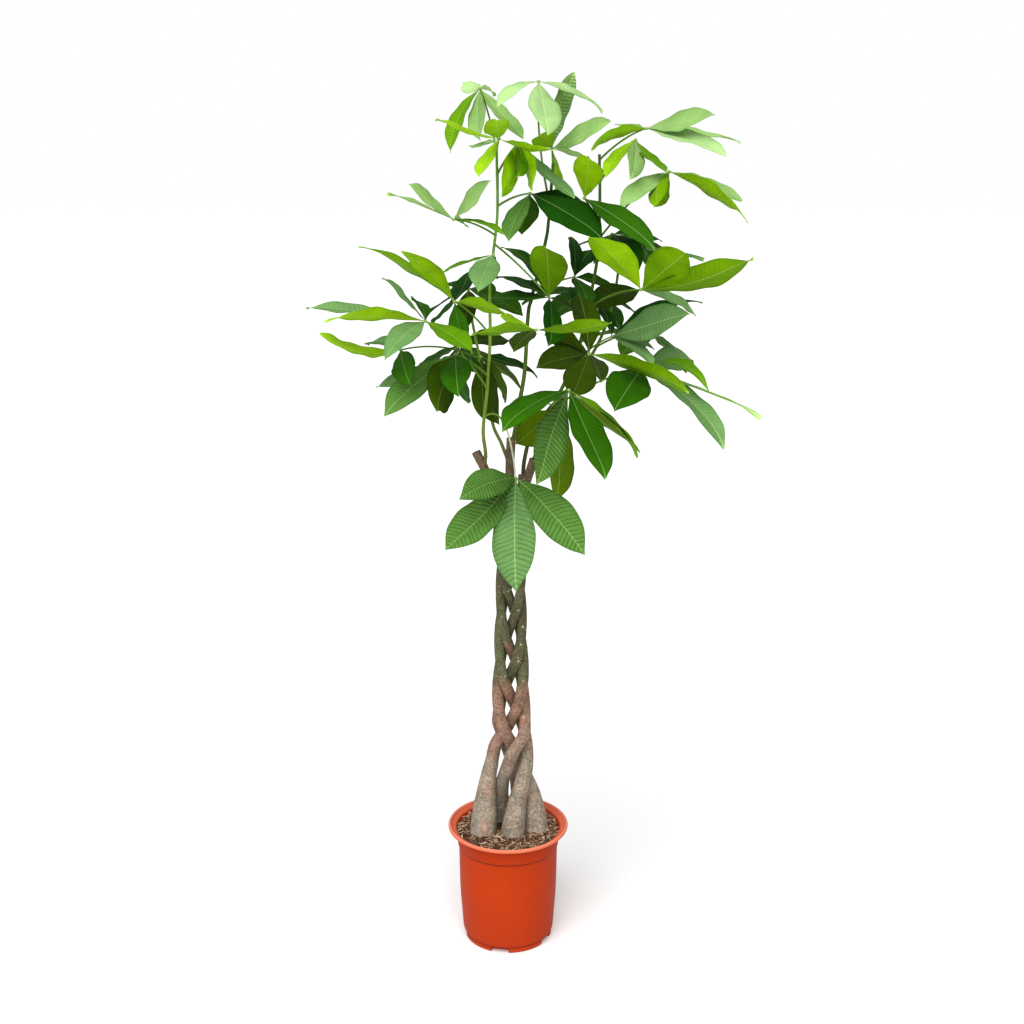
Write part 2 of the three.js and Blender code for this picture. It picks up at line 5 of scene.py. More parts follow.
import bpy
import numpy as np
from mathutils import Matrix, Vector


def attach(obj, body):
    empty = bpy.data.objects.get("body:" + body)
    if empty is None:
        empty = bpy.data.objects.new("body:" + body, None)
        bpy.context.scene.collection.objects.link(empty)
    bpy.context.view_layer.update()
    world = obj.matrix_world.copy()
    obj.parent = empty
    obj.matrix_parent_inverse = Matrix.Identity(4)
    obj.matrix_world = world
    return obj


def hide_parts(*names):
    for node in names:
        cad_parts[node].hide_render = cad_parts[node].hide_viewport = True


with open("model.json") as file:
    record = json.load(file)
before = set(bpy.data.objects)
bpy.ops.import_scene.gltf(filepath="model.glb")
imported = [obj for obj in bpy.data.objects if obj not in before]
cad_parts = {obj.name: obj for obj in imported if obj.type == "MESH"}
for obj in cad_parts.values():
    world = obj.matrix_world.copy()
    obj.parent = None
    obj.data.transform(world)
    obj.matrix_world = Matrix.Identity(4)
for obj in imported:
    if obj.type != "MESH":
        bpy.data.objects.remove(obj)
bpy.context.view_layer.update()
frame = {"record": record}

# Pot: a nursery pot of thin orange plastic, moulded in one piece. A rolled rim stands over a collar
# that narrows to a step, the body tapers to a rounded corner, and a foot ring carries it, with five
# notches that let water run away from the drain holes.
POT_HEIGHT = 248
RIM_RADIUS = 122
RIM_MOUTH_RADIUS = 116.5
LIP_DEPTH = 9
COLLAR_TOP_RADIUS = 105.5
COLLAR_BOTTOM_RADIUS = 102.8
STEP_HEIGHT = 204
BODY_TOP_RADIUS = 100.5
BODY_LOW_RADIUS = 99
BODY_LOW_HEIGHT = 105
BODY_FOOT_RADIUS = 93
CORNER_HEIGHT = 20
FOOT_RADIUS = 89.5
FOOT_HEIGHT = 11
POT_WALL = 2.6
POT_FLOOR = 14
NOTCH_SIZE = (40, 36, 22)
NOTCH_REACH = 75
NOTCH_FRONT_ANGLE = -101
DRAIN_RADIUS = 6
DRAIN_CIRCLE = 52
POT_SIDES = 160


def tube_faces(rows, around, start=0):
    """Quads between neighbouring rings of a closed skin, and one face over each end."""
    along = start + np.arange(rows - 1)[:, None] * around
    here = along + np.arange(around)
    beside = along + (np.arange(around) + 1) % around
    quads = np.stack([here, beside, beside + around, here + around], axis=-1).reshape(-1, 4)
    first = start + np.arange(around)[::-1]
    last = start + (rows - 1) * around + np.arange(around)
    return quads.tolist() + [first.tolist(), last.tolist()]


def make_piece(name, skins, material, slot, node, sharp_degrees=50, **attributes):
    """One object from closed skins, each an array of rings by points by three in millimetres.
    An attribute has one number or colour for each point, in the order of the skins."""
    faces = []
    start = 0
    for skin in skins:
        faces += tube_faces(skin.shape[0], skin.shape[1], start)
        start += skin.shape[0] * skin.shape[1]
    points = np.concatenate([skin.reshape(-1, 3) for skin in skins]) / 1000
    mesh = bpy.data.meshes.new(name)
    mesh.from_pydata(points.tolist(), [], faces)
    for label, values in attributes.items():
        kind, field = ("FLOAT", "value") if values.ndim == 1 else ("FLOAT_VECTOR", "vector")
        layer = mesh.attributes.new(label, kind, "POINT")
        layer.data.foreach_set(field, values.astype(np.float32).ravel())
    mesh.polygons.foreach_set("use_smooth", np.ones(len(faces), dtype=bool))
    mesh.set_sharp_from_angle(angle=np.radians(sharp_degrees))
    mesh.materials.append(material)
    piece = bpy.data.objects.new(name, mesh)
    bpy.context.collection.objects.link(piece)
    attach(piece, "root")
    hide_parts(node)
    return piece


def turned(profile, sides):
    """A profile of radius and height carried round the vertical axis."""
    turn = np.linspace(0, 2 * np.pi, sides, endpoint=False)
    radius, height = np.array(profile, dtype=float).T[:, :, None]
    return np.stack([radius * np.cos(turn), radius * np.sin(turn), height + 0 * turn], axis=-1)


def rounded(profile):
    """A profile with each of its corners cut twice to a small curve: every stretch keeps its middle."""
    points = np.array(profile, dtype=float)
    for _ in range(2):
        near = 0.88 * points[:-1] + 0.12 * points[1:]
        far = 0.12 * points[:-1] + 0.88 * points[1:]
        inner = np.stack([near, far], axis=1).reshape(-1, 2)
        points = np.concatenate([points[:1], inner, points[-1:]])
    return points


def new_material(name):
    """An empty node material with its Principled shader."""
    material = bpy.data.materials.new(name)
    material.use_nodes = True
    return material, material.node_tree, material.node_tree.nodes["Principled BSDF"]


def add_node(tree, kind, inputs=(), **settings):
    """A node with its settings and its unlinked input values."""
    node = tree.nodes.new(kind)
    for key, value in settings.items():
        setattr(node, key, value)
    for key, value in dict(inputs).items():
        node.inputs[key].default_value = value
    return node


def colour_ramp(tree, factor, stops):
    """A colour ramp fed by a factor; stops are pairs of place and colour."""
    node = tree.nodes.new("ShaderNodeValToRGB")
    ramp = node.color_ramp
    while len(ramp.elements) < len(stops):
        ramp.elements.new(0.5)
    for element, (place, colour) in zip(ramp.elements, stops):
        element.position = place
        element.color = (*colour, 1)
    tree.links.new(factor, node.inputs["Fac"])
    return node.outputs["Color"]


def mottle_group():
    """Shared effect: two sizes of soft noise, put out as a mask and as a height for bump."""
    tree = bpy.data.node_groups.new("mottle", "ShaderNodeTree")
    for label, value in (("Scale", 20.0), ("Contrast", 1.0)):
        socket = tree.interface.new_socket(label, in_out="INPUT", socket_type="NodeSocketFloat")
        socket.default_value = value
    for label in ("Mask", "Height"):
        tree.interface.new_socket(label, in_out="OUTPUT", socket_type="NodeSocketFloat")
    given = tree.nodes.new("NodeGroupInput")
    result = tree.nodes.new("NodeGroupOutput")
    place = tree.nodes.new("ShaderNodeTexCoord")
    broad = add_node(tree, "ShaderNodeTexNoise", {"Detail": 5.0, "Roughness": 0.6})
    finer = add_node(tree, "ShaderNodeMath", {1: 7.0}, operation="MULTIPLY")
    fine = add_node(tree, "ShaderNodeTexNoise", {"Detail": 3.0})
    for noise in (broad, fine):
        tree.links.new(place.outputs["Object"], noise.inputs["Vector"])
    tree.links.new(given.outputs["Scale"], broad.inputs["Scale"])
    tree.links.new(given.outputs["Scale"], finer.inputs[0])
    tree.links.new(finer.outputs[0], fine.inputs["Scale"])
    centred = add_node(tree, "ShaderNodeMath", {1: 0.5}, operation="SUBTRACT")
    stretched = add_node(tree, "ShaderNodeMath", {2: 0.5}, operation="MULTIPLY_ADD", use_clamp=True)
    tree.links.new(broad.outputs["Fac"], centred.inputs[0])
    tree.links.new(centred.outputs[0], stretched.inputs[0])
    tree.links.new(given.outputs["Contrast"], stretched.inputs[1])
    tree.links.new(stretched.outputs[0], result.inputs["Mask"])
    both = add_node(tree, "ShaderNodeMath", {1: 0.35}, operation="MULTIPLY_ADD")
    tree.links.new(fine.outputs["Fac"], both.inputs[0])
    tree.links.new(broad.outputs["Fac"], both.inputs[2])
    tree.links.new(both.outputs[0], result.inputs["Height"])
    return tree


mottle = mottle_group()


def add_mottle(tree, scale, contrast):
    """The shared mottle placed in a material."""
    node = add_node(tree, "ShaderNodeGroup", node_tree=mottle)
    node.inputs["Scale"].default_value = scale
    node.inputs["Contrast"].default_value = contrast
    return node


def mix_colours(tree, factor, first, second, blend="MIX"):
    """Two colours mixed by a linked or plain factor."""
    node = add_node(tree, "ShaderNodeMix", data_type="RGBA", blend_type=blend)
    for value, socket in ((factor, node.inputs[0]), (first, node.inputs[6]), (second, node.inputs[7])):
        if isinstance(value, bpy.types.NodeSocket):
            tree.links.new(value, socket)
        else:
            socket.default_value = value if isinstance(value, float) else (*value, 1)
    return node.outputs[2]


def add_bump(tree, shader, height, strength, distance):
    """A bump from a height, given to the shader."""
    node = add_node(tree, "ShaderNodeBump", {"Strength": strength, "Distance": distance})
    tree.links.new(height, node.inputs["Height"])
    tree.links.new(node.outputs["Normal"], shader.inputs["Normal"])


def orange_plastic():
    """Matte moulded plastic: orange, a little paler where it was rubbed and a little darker low down, with painted
    shade in thin lines at the foot ring and the step and a painted highlight up the rim.
    """
    material, tree, shader = new_material("orange_plastic")
    cloud = add_mottle(tree, 14.0, 1.6)
    place = tree.nodes.new("ShaderNodeTexCoord")
    split = tree.nodes.new("ShaderNodeSeparateXYZ")
    tree.links.new(place.outputs["Object"], split.inputs[0])
    # Colour by height, with painted shade in thin dark lines where the foot ring meets the body and under the
    # collar's step, and a painted highlight that makes the rim paler salmon
    by_height = colour_ramp(tree, split.outputs["Z"], (
        (0.0, (0.46, 0.040, 0.004)), (0.0105, (0.46, 0.040, 0.004)), (0.0120, (0.20, 0.014, 0.002)),
        (0.0145, (0.42, 0.034, 0.003)), (0.10, (0.455, 0.036, 0.002)), (0.2015, (0.46, 0.037, 0.002)),
        (0.2035, (0.17, 0.013, 0.002)), (0.2053, (0.17, 0.013, 0.002)), (0.2070, (0.43, 0.034, 0.002)),
        (0.2385, (0.42, 0.032, 0.002)), (0.2415, (0.66, 0.13, 0.056)), (0.25, (0.80, 0.25, 0.165))))
    rubbed = mix_colours(tree, cloud.outputs["Mask"], (0.93, 0.93, 0.93), (1.06, 1.06, 1.06))
    colour = mix_colours(tree, 1.0, by_height, rubbed, "MULTIPLY")
    tree.links.new(colour, shader.inputs["Base Color"])
    rough = add_node(tree, "ShaderNodeMapRange", {"To Min": 0.46, "To Max": 0.60})
    tree.links.new(cloud.outputs["Mask"], rough.inputs["Value"])
    tree.links.new(rough.outputs[0], shader.inputs["Roughness"])
    shader.inputs["Specular IOR Level"].default_value = 0.1
    add_bump(tree, shader, cloud.outputs["Height"], 0.12, 0.001)
    return material


POT_PROFILE = (
    (0.5, 0), (FOOT_RADIUS - 3, 0), (FOOT_RADIUS, 2), (FOOT_RADIUS + 0.8, FOOT_HEIGHT - 1),
    (FOOT_RADIUS, FOOT_HEIGHT + 0.5), (FOOT_RADIUS + 2, FOOT_HEIGHT + 4), (BODY_FOOT_RADIUS, CORNER_HEIGHT),
    (BODY_LOW_RADIUS, BODY_LOW_HEIGHT), (BODY_TOP_RADIUS, STEP_HEIGHT - 1),
    (COLLAR_BOTTOM_RADIUS, STEP_HEIGHT + 1.5), (COLLAR_TOP_RADIUS, POT_HEIGHT - LIP_DEPTH),
    (RIM_RADIUS - 3.5, POT_HEIGHT - LIP_DEPTH + 0.5), (RIM_RADIUS - 0.8, POT_HEIGHT - LIP_DEPTH + 2),
    (RIM_RADIUS, POT_HEIGHT - 4.5), (RIM_RADIUS - 1.2, POT_HEIGHT - 1.2), (RIM_RADIUS - 3, POT_HEIGHT),
    (RIM_MOUTH_RADIUS, POT_HEIGHT - 1), (RIM_MOUTH_RADIUS - 1.5, POT_HEIGHT - LIP_DEPTH + 3),
    (COLLAR_TOP_RADIUS + 1, POT_HEIGHT - LIP_DEPTH + 2),
    (COLLAR_TOP_RADIUS - POT_WALL, POT_HEIGHT - LIP_DEPTH - 4), (BODY_TOP_RADIUS - POT_WALL, STEP_HEIGHT),
    (BODY_LOW_RADIUS - POT_WALL, BODY_LOW_HEIGHT), (BODY_FOOT_RADIUS - POT_WALL, CORNER_HEIGHT),
    (FOOT_RADIUS - 6, POT_FLOOR), (0.5, POT_FLOOR),
)
pot = make_piece("nursery_pot", [turned(rounded(POT_PROFILE), POT_SIDES)], orange_plastic(),
                 "pot", "pot", sharp_degrees=40)


def box_skin(size, low):
    """A box as two rings of four points, its low corner given."""
    x, y, z = size
    ring = np.array([(0, 0), (x, 0), (x, y), (0, y)], dtype=float)
    ends = [np.column_stack([ring, np.full(4, height)]) for height in (0.0, z)]
    return np.array(ends) + np.array(low)


def spun(skin, degrees):
    """A skin turned about the vertical axis."""
    cosine, sine = np.cos(np.radians(degrees)), np.sin(np.radians(degrees))
    turn = np.array([(cosine, -sine, 0), (sine, cosine, 0), (0, 0, 1)])
    return skin @ turn.T


cutters = []
for notch in range(5):
    angle = NOTCH_FRONT_ANGLE + 72 * notch
    length, width, height = NOTCH_SIZE
    cutters.append(spun(box_skin(NOTCH_SIZE, (NOTCH_REACH, -width / 2, -height / 2)), angle))
    drain = turned(((DRAIN_RADIUS, -5), (DRAIN_RADIUS, 4 * POT_FLOOR)), 24) + np.array([DRAIN_CIRCLE, 0, 0])
    cutters.append(spun(drain, angle))
cutter_mesh = bpy.data.meshes.new("pot_cutters")
cutter_faces = []
cutter_start = 0
for skin in cutters:
    cutter_faces += tube_faces(skin.shape[0], skin.shape[1], cutter_start)
    cutter_start += skin.shape[0] * skin.shape[1]
cutter_points = np.concatenate([skin.reshape(-1, 3) for skin in cutters]) / 1000
cutter_mesh.from_pydata(cutter_points.tolist(), [], cutter_faces)
cutter = bpy.data.objects.new("pot_cutters", cutter_mesh)
bpy.context.collection.objects.link(cutter)
opening = pot.modifiers.new("foot_openings", "BOOLEAN")
opening.operation = "DIFFERENCE"
opening.solver = "EXACT"
opening.object = cutter
opened = bpy.data.meshes.new_from_object(pot.evaluated_get(bpy.context.evaluated_depsgraph_get()))
pot.modifiers.clear()
pot.data = opened
pot.data.set_sharp_from_angle(angle=np.radians(40))
bpy.data.objects.remove(cutter)

# Potting mix: damp, dark peat filled to a finger's width under the rim and heaped a little against the stems, with
# bark chips and pale straw lying loose on top.
SOIL_LEVEL = 237
SOIL_MOUND = 4
SOIL_RADIUS = 102
SOIL_FOOT_RADIUS = 80
SPILL_RADIUS = 111
CHIP_COUNT = 1600
STRAW_COUNT = 1000


def soil_height(x, y):
    """Level plus a mound plus three sizes of lumps, each a product of waves across and along."""
    distance = np.hypot(x, y)
    mound = SOIL_MOUND * np.clip(1.15 - distance / 95, 0, 1) ** 0.7
    lumps = 1.5 * np.sin(x / 8.5 + 1.3) * np.sin(y / 9.5 + 0.4)
    lumps += 0.9 * np.sin(x / 3.4 + y / 5.1) * np.sin(y / 3.9 - x / 6.3)
    lumps += 0.5 * np.sin(x / 1.9 + 2.1) * np.sin(y / 1.7)
    return SOIL_LEVEL - 1.5 + mound + lumps * np.clip((SOIL_RADIUS - distance) / 8, 0, 1)


def soil_skin(sides=110):
    """The mix as one closed solid: out along its bottom, up its side, and in over its lumpy top."""
    inset = POT_WALL + 1
    outline = np.array([
        (0.5, POT_FLOOR + 0.4), (SOIL_FOOT_RADIUS, POT_FLOOR + 0.4), (BODY_FOOT_RADIUS - inset, CORNER_HEIGHT),
        (BODY_LOW_RADIUS - inset, BODY_LOW_HEIGHT), (BODY_TOP_RADIUS - inset, STEP_HEIGHT),
        (SOIL_RADIUS, SOIL_LEVEL - 4)])
    radius = np.concatenate([outline[:, 0], np.linspace(SOIL_RADIUS - 2, 0.5, 61)])
    turn = np.linspace(0, 2 * np.pi, sides, endpoint=False)
    x = radius[:, None] * np.cos(turn)
    y = radius[:, None] * np.sin(turn)
    height = soil_height(x, y)
    height[:len(outline)] = outline[:, 1:]
    return np.stack([x, y, height], axis=-1)


def scattered_bits(count, half_sizes, lift, tilt, seed, inner=30):
    """Small closed boxes, tapered to their ends, thrown flat at seeded random places on the mix and, in
    front, on the shelf inside the rim."""
    draw = np.random.default_rng(seed)
    angle = draw.uniform(0, 2 * np.pi, count)
    edge = SOIL_RADIUS - 3 + (SPILL_RADIUS - SOIL_RADIUS + 3) * np.clip(-np.sin(angle), 0, 1)
    distance = np.sqrt(draw.uniform((inner / SPILL_RADIUS) ** 2, 1, count)) * edge
    centre = np.stack([distance * np.cos(angle), distance * np.sin(angle)], axis=-1)
    size = np.array(half_sizes) * draw.uniform(0.45, 1.25, (count, 3))
    heading = draw.uniform(0, 2 * np.pi, count)
    slope = draw.normal(0, tilt, (count, 2))
    along = np.stack([np.cos(heading), np.sin(heading), slope[:, 0]], axis=-1)
    across = np.stack([-np.sin(heading), np.cos(heading), slope[:, 1]], axis=-1)
    up = np.cross(along, across)
    ends = np.array([-1.0, 0.0, 1.0])
    taper = np.array([0.5, 1.0, 0.35])
    ring = np.array([(1, -1), (1, 1), (-1, 1), (-1, -1)], dtype=float)
    shelf = POT_HEIGHT - LIP_DEPTH + 2.6
    bed = np.where(distance < SOIL_RADIUS - 1, soil_height(*centre.T), shelf)
    middle = np.column_stack([centre, bed + lift * size[:, 2] + draw.uniform(0, 1.2, count)])
    bend = draw.normal(0, 0.25, count)[:, None] * size[:, :1] * (1 - ends ** 2)
    points = middle[:, None, None] + (ends * size[:, :1])[:, :, None, None] * along[:, None, None]
    points = points + bend[:, :, None, None] * across[:, None, None]
    wide = (taper * size[:, 1:2])[:, :, None] * ring[:, 1]
    thick = (taper * size[:, 2:3])[:, :, None] * ring[:, 0]
    points = points + wide[..., None] * across[:, None, None] + thick[..., None] * up[:, None, None]
    return points


def potting_mix():
    """Dark mix, chips and straw share a material; the shade attribute goes from peat to straw."""
    material, tree, shader = new_material("potting_mix")
    shade = add_node(tree, "ShaderNodeAttribute", attribute_name="shade")
    cloud = add_mottle(tree, 160.0, 2.4)
    grain = mix_colours(tree, cloud.outputs["Mask"], (0.55, 0.52, 0.50), (1.45, 1.4, 1.35))
    base = colour_ramp(tree, shade.outputs["Fac"], (
        (0.0, (0.045, 0.024, 0.013)), (0.3, (0.125, 0.055, 0.027)), (0.6, (0.32, 0.175, 0.095)),
        (0.85, (0.62, 0.47, 0.32)), (1.0, (0.88, 0.78, 0.62))))
    tree.links.new(mix_colours(tree, 1.0, base, grain, "MULTIPLY"), shader.inputs["Base Color"])
    shader.inputs["Roughness"].default_value = 0.92
    shader.inputs["Specular IOR Level"].default_value = 0.2
    add_bump(tree, shader, cloud.outputs["Height"], 0.7, 0.002)
    return material


soil_skins = [soil_skin()]
soil_shades = [np.full(soil_skins[0].shape[:2], 0.06).ravel()]
for count, sizes, lift, tilt, seed, low, high, bias in (
        (CHIP_COUNT, (3.6, 2.2, 0.9), 0.6, 0.3, 11, 0.02, 0.66, 1.7),
        (STRAW_COUNT, (7.5, 1.1, 0.4), 2.2, 0.12, 12, 0.55, 1.0, 1.5)):
    bits = scattered_bits(count, sizes, lift, tilt, seed)
    soil_skins += list(bits)
    tints = np.random.default_rng(seed + 50).uniform(low, high, count) ** bias
    soil_shades.append(np.repeat(tints, bits.shape[1] * bits.shape[2]))
make_piece("potting_mix", soil_skins, potting_mix(), "soil", "soil",
           shade=np.concatenate(soil_shades))

# Plaited stems: five young trunks, each swollen and grey where it stands in the mix, woven into one
# open braid while they were soft, and sawn off above it. Their bark is smooth, with pale pores.
STEM_FOOT = 160
PLAIT_AXIS_X = 6
PLAIT_PITCH = 500
PLAIT_TOP = 925
PLAIT_STEP = 30
PLAIT_DEPTH_RATIO = 0.88
PLAIT_HALF_WIDTH = ((350, 36), (400, 33), (475, 28.5), (540, 26.5), (620, 24), (730, 21.5), (1000, 20.5))
STEM_SIDES = 36
STEM_RINGS = 300
BARK_FULLNESS = 1.07
# How much lower than the usual height each stem's bark turns from pink to green, in metres
GREENING = (0.02, -0.07, 0.05, 0.19, 0.015)
SCAR_PLACE = (-0.047, -0.048, 0.260)
SCAR_FLATTENING = (1.0, 1.0, 0.55)
STEMS = {
    "trunk_front": (397, 22,
        ((8, -34, 160), (10, -32, 238), (17, -29, 295), (28, -21, 345), (37, -9, 385)),
        ((27, 13, 932), (29, 24, 972))),
    "trunk_back_left": (497, 18,
        ((-16, 38, 160), (-17, 36, 238), (-17, 22, 295), (-10, 1, 342), (0, -17, 380), (11, -25, 415)),
        ((33, -18, 960), (49, -20, 1012))),
    "trunk_left": (597, 25,
        ((-53, -28, 160), (-51, -25, 238), (-45, -14, 305), (-40, -3, 347), (-32, 8, 385), (-24, 14, 415)),
        ((-7, 21, 935), (-3, 26, 972))),
    "trunk_back_right": (697, 18,
        ((22, 46, 160), (24, 43, 238), (22, 44, 305), (8, 46, 360), (-10, 42, 420), (-20, 37, 455)),
        ((-30, -10, 960), (-60, -12, 1024))),
    "trunk_right": (297, 23,
        ((59, -12, 160), (57, -10, 238), (46, 4, 305), (32, 16, 347), (20, 23, 380)),
        ((4, -6, 980), (6, -8, 1050))),
}


def spline(points, count):
    """A smooth curve through points: every stretch is a cubic whose slope at each end is half the
    step from the point before to the point after. Count places, even in the curve's own measure."""
    knots = np.array(points, dtype=float)
    knots = np.vstack([2 * knots[0] - knots[1], knots, 2 * knots[-1] - knots[-2]])
    place = np.linspace(0, len(points) - 1, count)
    stretch = np.minimum(place.astype(int), len(points) - 2)
    t = (place - stretch)[:, None]
    before, start, end, after = (knots[stretch + i] for i in range(4))
    slope_start, slope_end = (end - before) / 2, (after - start) / 2
    return (start * (2 * t**3 - 3 * t**2 + 1) + end * (3 * t**2 - 2 * t**3)
            + slope_start * (t**3 - 2 * t**2 + t) + slope_end * (t**3 - t**2))


def unit(vectors):
    """Vectors of length one."""
    return vectors / np.linalg.norm(vectors, axis=-1, keepdims=True)


def tube(path, radius, sides, level=(0.0, 1.0, 0.0)):
    """A skin of rings square to a path. Radius is one number for each ring, or for each point."""
    ahead = unit(np.gradient(path, axis=0))
    level = np.array(level)
    across = unit(level - (ahead @ level)[:, None] * ahead)
    other = np.cross(ahead, across)
    turn = np.linspace(0, 2 * np.pi, sides, endpoint=False)[None, :, None]
    radius = np.asarray(radius, dtype=float).reshape(len(path), -1)[..., None]
    return path[:, None] + radius * (np.cos(turn) * across[:, None] + np.sin(turn) * other[:, None])


def stem_path(right_edge, low, top):
    """Up from the mix along its own points, then the braid, where a stem swings once across and
    twice to and fro in every pitch, then out to its sawn end."""
    first = PLAIT_STEP * np.ceil((low[-1][2] + PLAIT_STEP - 3) / PLAIT_STEP)
    height = np.arange(first, PLAIT_TOP, PLAIT_STEP)
    half = np.interp(height, *np.array(PLAIT_HALF_WIDTH).T)
    swing = 2 * np.pi * (height - right_edge) / PLAIT_PITCH
    braid = np.column_stack([PLAIT_AXIS_X + half * np.cos(swing),
                             PLAIT_DEPTH_RATIO * half * np.sin(2 * swing), height])
    return spline(np.vstack([low, braid, top]), STEM_RINGS)


def stem_radius(foot, height):
    """Widest at the mix, thinner through the crossings."""
    levels = (160, 240, 272, 310, 350, 387, 440, 540, 610, 640, 740, 1000)
    radii = (0.9 * foot, foot, 0.93 * foot, 4 + 0.62 * foot, 3 + 0.5 * foot,
             12.6, 11.4, 10.4, 9.45, 9.2, 8.3, 8)
    return np.interp(height, levels, radii)


def bark_relief(path, seed, sides):
    """Slow swellings and lengthwise folds near the foot, and ring wrinkles where the stem bends."""
    draw = np.random.default_rng(seed)
    turn = np.linspace(0, 2 * np.pi, sides, endpoint=False)
    height = path[:, 2:3]
    phase = draw.uniform(0, 6.28, 6)
    slow = 0.035 * np.sin(height / 23 + phase[0] + 1.5 * np.sin(turn + phase[1]))
    folds = 0.030 * np.exp(-np.clip(height - SOIL_LEVEL, 0, None) / 55) * np.sin(6 * turn + phase[2] + height / 60)
    folds = folds + 0.018 * np.exp(-np.clip(height - SOIL_LEVEL, 0, None) / 90) * np.sin(11 * turn + phase[3])
    rings = 0.008 * np.sin(height / 1.9 + 2 * np.sin(2 * turn + phase[4])) * (1 + np.sin(height / 31))
    knots = 0.05 * np.exp(-((height % 83 - 40) / 6) ** 2) * np.clip(np.sin(turn + height // 83 * 2.4), 0, 1)
    return 1 + slow + folds + rings + knots


def stem_bark():
    """Bark: grey beige feet, pinkish brown through the first crossings, grey green above, with pale
    pores, fine rings and darker weathered patches."""
    material, tree, shader = new_material("stem_bark")
    place = tree.nodes.new("ShaderNodeTexCoord")
    split = tree.nodes.new("ShaderNodeSeparateXYZ")
    tree.links.new(place.outputs["Object"], split.inputs[0])
    greening = add_node(tree, "ShaderNodeAttribute", attribute_name="greening")
    woven = add_node(tree, "ShaderNodeMapRange", {"From Min": 0.42, "From Max": 0.54})
    tree.links.new(split.outputs["Z"], woven.inputs["Value"])
    raised = add_node(tree, "ShaderNodeMath", operation="MULTIPLY_ADD")
    tree.links.new(woven.outputs[0], raised.inputs[0])
    tree.links.new(greening.outputs["Fac"], raised.inputs[1])
    tree.links.new(split.outputs["Z"], raised.inputs[2])
    warp = add_mottle(tree, 18.0, 2.6)
    shift = add_node(tree, "ShaderNodeMath", {1: 0.16}, operation="MULTIPLY_ADD")
    tree.links.new(warp.outputs["Mask"], shift.inputs[0])
    tree.links.new(raised.outputs[0], shift.inputs[2])
    by_height = colour_ramp(tree, shift.outputs[0], (
        (0.30, (0.36, 0.305, 0.245)), (0.44, (0.30, 0.240, 0.180)), (0.52, (0.32, 0.185, 0.130)),
        (0.62, (0.30, 0.165, 0.115)), (0.68, (0.115, 0.125, 0.055)), (0.80, (0.140, 0.125, 0.065)),
        (0.96, (0.100, 0.100, 0.048)), (1.0, (0.170, 0.115, 0.065))))
    patches = add_mottle(tree, 34.0, 4.0)
    patchy = mix_colours(tree, patches.outputs["Mask"], (0.72, 0.74, 0.72), (1.12, 1.10, 1.08))
    wrinkles = add_mottle(tree, 230.0, 4.0)
    wrinkled = mix_colours(tree, wrinkles.outputs["Mask"], (0.62, 0.62, 0.60), (1.28, 1.28, 1.28))
    clouded = mix_colours(tree, 1.0, by_height, patchy, "MULTIPLY")
    base = mix_colours(tree, 1.0, clouded, wrinkled, "MULTIPLY")
    pores = add_node(tree, "ShaderNodeTexVoronoi", {"Scale": 95.0, "Randomness": 1.0})
    tree.links.new(place.outputs["Object"], pores.inputs["Vector"])
    pore = colour_ramp(tree, pores.outputs["Distance"], ((0.0, (1, 1, 1)), (0.16, (1, 1, 1)), (0.24, (0, 0, 0))))
    chosen = add_node(tree, "ShaderNodeTexNoise", {"Scale": 42.0, "Detail": 2.0})
    tree.links.new(place.outputs["Object"], chosen.inputs["Vector"])
    some = colour_ramp(tree, chosen.outputs["Fac"], ((0.52, (0, 0, 0)), (0.60, (1, 1, 1))))
    pore_mask = mix_colours(tree, 1.0, pore, some, "MULTIPLY")
    spotted = mix_colours(tree, pore_mask, base, (0.55, 0.51, 0.38))
    flattened = add_node(tree, "ShaderNodeVectorMath", {1: SCAR_FLATTENING}, operation="MULTIPLY")
    tree.links.new(place.outputs["Object"], flattened.inputs[0])
    centre = tuple(np.multiply(SCAR_PLACE, SCAR_FLATTENING))
    reach = add_node(tree, "ShaderNodeVectorMath", {1: centre}, operation="DISTANCE")
    tree.links.new(flattened.outputs["Vector"], reach.inputs[0])
    scar = colour_ramp(tree, reach.outputs["Value"], (
        (0.0, (0.62, 0.45, 0.35)), (0.0035, (0.55, 0.36, 0.27)), (0.0055, (0.30, 0.12, 0.07)),
        (0.0075, (0.36, 0.20, 0.14))))
    healed = colour_ramp(tree, reach.outputs["Value"], ((0.0, (1, 1, 1)), (0.006, (1, 1, 1)), (0.0095, (0, 0, 0))))
    tree.links.new(mix_colours(tree, healed, spotted, scar), shader.inputs["Base Color"])
    rings = add_node(tree, "ShaderNodeTexWave", {"Scale": 120.0, "Distortion": 9.0, "Detail": 3.0},
                     wave_type="BANDS", bands_direction="Z")
    tree.links.new(place.outputs["Object"], rings.inputs["Vector"])
    height = add_node(tree, "ShaderNodeMath", {1: 0.25}, operation="MULTIPLY_ADD")
    tree.links.new(rings.outputs["Fac"], height.inputs[0])
    tree.links.new(patches.outputs["Height"], height.inputs[2])
    shader.inputs["Roughness"].default_value = 0.78
    shader.inputs["Specular IOR Level"].default_value = 0.3
    add_bump(tree, shader, height.outputs[0], 0.8, 0.002)
    return material


bark = stem_bark()
for seed, (name, (right_edge, foot, low, top)) in enumerate(STEMS.items()):
    path = stem_path(right_edge, low, top)
    radius = BARK_FULLNESS * stem_radius(foot, path[:, 2])[:, None] * bark_relief(path, seed, STEM_SIDES)
    make_piece(name + "_bark", [tube(path, radius, STEM_SIDES)], bark, "bark", name,
               greening=np.full(STEM_RINGS * STEM_SIDES, GREENING[seed]))
